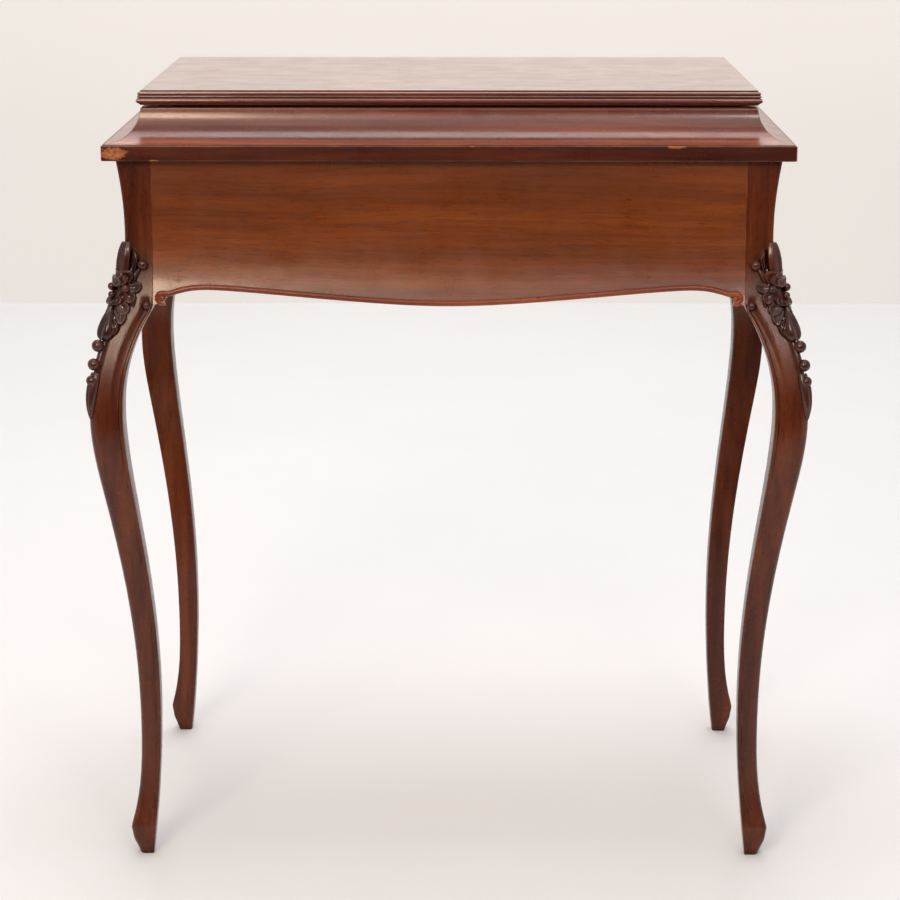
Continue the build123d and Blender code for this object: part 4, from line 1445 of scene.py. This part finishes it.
@dataclass
class Studio:
    """A pale floor that ends before a pale wall, soft boxes in front and panels overhead."""

    wall_back: float = 5.4
    floor_back: float = 2.97     # the wall starts lower than the floor, and shows past its end
    floor_front: float = -1.2    # the paper ends here, so that the front reflects a dim room
    front_wall: float = -6.0     # a backdrop for the views from behind, which lights nothing
    front_glow: float = 0.8
    floor_colour: str = "#e0e2e4"
    wall_colour: str = "#f0ebe6"
    wall_glow: float = 0.4       # the wall is lit from behind as well
    focal_length: float = 116.0
    camera_place: tuple[float, float, float] = (0.0213, -2.799, 0.963)
    camera_dip: float = 0.216    # below level, radians
    camera_turn: float = 0.0078

    def build(self) -> None:
        """Makes the floor, the wall, the lights and the camera."""
        near, far, back = self.floor_front, self.floor_back, self.wall_back
        self._plane("floor", [(-9, near, 0), (9, near, 0), (9, far, 0), (-9, far, 0)],
                    self.floor_colour)
        self._plane("wall", [(-12, back, -3), (12, back, -3), (12, back, 6), (-12, back, 6)],
                    self.wall_colour, self.wall_glow)
        ahead = self.front_wall
        front = self._plane("front_wall", [(12, ahead, -3), (-12, ahead, -3), (-12, ahead, 6),
                                           (12, ahead, 6)], self.wall_colour, self.front_glow)
        for ray in ("diffuse", "glossy", "transmission", "shadow"):
            setattr(front, "visible_" + ray, False)
        for lamp in LAMPS:
            self._light(lamp)
        world = bpy.data.worlds.new("room")
        world.use_nodes = True
        tree = world.node_tree
        tree.nodes.clear()
        place = add(tree, "ShaderNodeTexCoord").outputs["Generated"]
        way = add(tree, "ShaderNodeSeparateXYZ", {"Vector": place})
        dim = ramp(tree, way.outputs["Z"], [(0.0, grey(0.05)), (0.16, grey(0.1)), (0.32, grey(0.34)),
                                            (0.6, grey(0.75)), (1.0, grey(0.95))])
        open_sides = ramp(tree, way.outputs["Z"], [(0.0, grey(0.5)), (0.5, grey(0.7)),
                                                   (1.0, grey(0.95))])
        ahead = add(tree, "ShaderNodeMapRange", {"Value": way.outputs["Y"]},
                    {"From Min": -0.9, "From Max": -0.6}, interpolation_type="SMOOTHSTEP")
        glow = add(tree, "ShaderNodeMix", {"Factor": ahead.outputs["Result"], 6: dim, 7: open_sides},
                   data_type="RGBA")
        sky = add(tree, "ShaderNodeBackground", {"Color": glow.outputs[2]}, {"Strength": 0.8})
        add(tree, "ShaderNodeOutputWorld", {"Surface": sky.outputs["Background"]})
        bpy.context.scene.world = world
        bpy.context.scene.view_settings.view_transform = "Standard"
        self._camera()

    def _plane(self, name: str, corners: list[tuple], colour: str,
               glow: float = 0.0) -> Piece:
        """One pale plane of the stage, with a faint mottle like swept paper.

        Args:
            name: object name.
            corners: its four corners.
            colour: sRGB hex.
            glow: light of its own.

        Returns:
            The plane.
        """
        mesh = bpy.data.meshes.new(name)
        mesh.from_pydata(corners, [], [(0, 1, 2, 3)])
        piece = mesh_object(name, mesh)
        base = linear(colour)
        material, tree, shader, place = new_material(name + "_paper", {
            "Roughness": 0.7, "Specular IOR Level": 0.2,
            "Emission Color": base, "Emission Strength": glow})
        mottle = add(tree, "ShaderNodeTexNoise", {"Vector": place}, {"Scale": 2.5, "Detail": 3.0})
        shade = tuple(c * 0.985 for c in base[:3]) + (1.0,)
        feed(tree, shader, {"Base Color": ramp(tree, mottle.outputs["Fac"], [(0.35, shade), (0.65, base)])})
        paint(piece, material)
        return piece

    def _light(self, lamp: Lamp) -> None:
        """Hangs one area light, which the camera itself doesn't see."""
        light = bpy.data.lights.new(lamp.name, "AREA")
        light.shape = "RECTANGLE"
        light.size, light.size_y = lamp.size
        light.energy = lamp.power
        light.color = linear(lamp.colour)[:3]
        holder = bpy.data.objects.new(lamp.name, light)
        holder.location = lamp.place
        holder.visible_camera = False
        way = Vector(lamp.aim) - Vector(lamp.place)
        holder.rotation_euler = way.to_track_quat("-Z", "Y").to_euler()
        bpy.context.scene.collection.objects.link(holder)

    def _camera(self) -> None:
        """A long lens, a little above the lid, looking slightly down."""
        lens = bpy.data.cameras.new("camera")
        lens.lens = self.focal_length
        lens.sensor_width = 36.0
        camera = bpy.data.objects.new("camera", lens)
        camera.location = self.camera_place
        camera.rotation_euler = (math.pi / 2 - self.camera_dip, 0.0, self.camera_turn)
        bpy.context.scene.collection.objects.link(camera)
        bpy.context.scene.camera = camera


# ------------------------------------------------------------------ the whole table
@dataclass
class WorkTable:
    """The table: its finishes, and which piece takes which."""

    joinery: EasedJoinery = field(default_factory=EasedJoinery)

    def build(self) -> None:
        """Builds every sub-assembly in order."""
        self.finishes = self._finishes()
        self._case()
        self._lid()
        CabrioleLegs().build(self.finishes["mahogany_leg"], self.finishes["mahogany_carved"])
        ApronBeads().build(self.finishes["mahogany_bead"])
        self._tray()
        Pincushion().build(CottonVelvet().build())
        TurnedKnobs().build(TurnedBone().build())
        HingeFittings().build(AgedBrass().build())

    def _finishes(self) -> dict[str, Material]:
        """Makes the woods, one for each run of the grain and each depth of stain."""
        band_low, band_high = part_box("top_band_front")
        band_middle = (band_low.z + band_high.z) / 2
        chips = (Patch((band_low.x + 11 * MM, band_low.y, band_middle), (13, 8, 6.2)),
                 Patch((band_low.x + 48 * MM, band_low.y, band_low.z), (6, 4, 1.6)),
                 Patch((band_high.x - 108 * MM, band_low.y, band_high.z), (9, 5, 2.4)),
                 Patch((band_high.x - 290 * MM, band_low.y, band_high.z), (3, 3, 1.0)))
        cross, deep, upright = Grain.ALONG_X, Grain.ALONG_Y, Grain.ALONG_Z
        dark = dict(dark="#2e110a", body="#42190e", light="#5a2716", gloss=0.34, coat=0.1,
                    wear=0.75)
        warm = dict(dark="#602c0d", body="#6f340e", light="#7f3f12")
        # lighter colours for the upward faces at the foot of the cove: a painted highlight of the overhead
        # light on the shelf
        shelf_highlight = dict(dark="#6e3825", body="#82452f", light="#95553b", roughness=0.34)
        red = dict(dark="#4a1c0d", body="#612814", light="#7a381d")
        strip = dict(red, wear=0.3, crevice_dirt_and_shade_reach=3.0, roughness=0.15, coat=0.9, coat_roughness=0.05)
        pale = dict(dark="#8a5a30", body="#b07f4a", light="#c69a63", wear=0.2, crevice_dirt_and_shade=0.5,
                    roughness=0.48, coat=0.0, worn="#d6b07c", crevice_dirt_and_shade_colour="#3a2413")
        plans = [
            PolishedWood("mahogany_leg", upright, dark="#401809", body="#54240e", light="#683013",
                         roughness=0.27, gloss=0.32, coat=0.0, figure_width=13.0),
            # the carving takes the strongest dirt and painted shade in its crevices
            PolishedWood("mahogany_carved", upright, dark="#240c06", body="#3b150a", light="#572511",
                         roughness=0.27, gloss=0.38, coat=0.3, coat_roughness=0.07,
                         crevice_dirt_and_shade=0.95, crevice_dirt_and_shade_reach=5.0,
                         wear=0.7, worn="#7a4526"),
            PolishedWood("mahogany_bead", cross, dark="#5c2410", body="#762f14", light="#8f441f",
                         roughness=0.25, gloss=0.4, coat=0.1),
            PolishedWood("mahogany_band_front", cross, **dark, patches=chips),
            PolishedWood("mahogany_lid_top", cross, **warm, shift=8.0, roughness=0.2, coat=0.42,
                         coat_roughness=0.08),
            PolishedWood("inner_lid_cross", cross, **warm, shift=13.0, figure_length=120.0,
                         figure_width=8.0),
        ]
        pairs = (("mahogany_apron", (0.0, 3.1), dict(warm, figure_length=360.0)),
                 ("mahogany_cove", (1.7, 2.3), dict(red, roughness=0.26)),
                 ("mahogany_foot", (1.7, 2.3), shelf_highlight),
                 ("mahogany_band", (5.0, 6.0), dark),
                 ("mahogany_strip", (9.0, 9.5), strip),
                 ("inner_pine", (11.0, 12.0), pale))
        for name, shifts, look in pairs:
            for run, grain, shift in (("cross", cross, shifts[0]), ("deep", deep, shifts[1])):
                plans.append(PolishedWood(f"{name}_{run}", grain, shift=shift, **look))
        return {plan.name: plan.build() for plan in plans}

    def _run(self, face: str) -> str:
        """Which way a member on one side of the table runs."""
        return "cross" if face in ("front", "back") else "deep"

    def _case(self) -> None:
        """The cove, band and apron of each side, the ledges, the bottom panel and its blocks."""
        for face in FACES:
            run = self._run(face)
            # the cove's upward faces take the lighter finish, a painted highlight
            self.joinery.make("cove_" + face, self.finishes["mahogany_cove_" + run], 0.6,
                              self.finishes["mahogany_foot_" + run], 0.9)
            band = "front" if face == "front" else run
            self.joinery.make("top_band_" + face, self.finishes["mahogany_band_" + band], 0.9)
            self.joinery.make("apron_" + face, self.finishes["mahogany_apron_" + run], 0.3)
            self.joinery.make("tray_ledge_" + face, self.finishes["inner_pine_" + run], 0.6)
        self.joinery.make("bottom_panel", self.finishes["inner_pine_cross"], 0.4)
        self.joinery.make("glue_blocks", self.finishes["inner_pine_cross"], 0.8)

    def _lid(self) -> None:
        """The board and its reeded strips."""
        self.joinery.make("lid_board", self.finishes["mahogany_lid_top"], 0.3)
        for face in ("front", "left", "right"):
            strip = self.finishes["mahogany_strip_" + self._run(face)]
            self.joinery.make("lid_edge_" + face, strip, 0.25, self.finishes["mahogany_lid_top"])

    def _tray(self) -> None:
        """Walls, bottom and dividers of the tray, and the two small lids."""
        for node in sorted(frame["nodes"]):
            if not node.startswith("tray_") or node.startswith("tray_ledge"):
                continue
            low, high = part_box(node)
            run = "cross" if high.x - low.x > high.y - low.y else "deep"
            self.joinery.make(node, self.finishes["inner_pine_" + run], 0.6)
        for side in SIDES:
            self.joinery.make("compartment_lid_" + side, self.finishes["inner_lid_cross"], 0.6)


def corners(bounds: tuple[Vector, Vector]) -> list[list[float]]:
    """A box as plain lists of numbers."""
    return [list(map(float, corner)) for corner in bounds]


def main() -> None:
    """Builds the table and its stage."""
    logging.basicConfig(level=logging.INFO, format="%(name)s: %(message)s")
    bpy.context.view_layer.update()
    Studio().build()
    WorkTable().build()


if __name__ == "__main__":
    main()
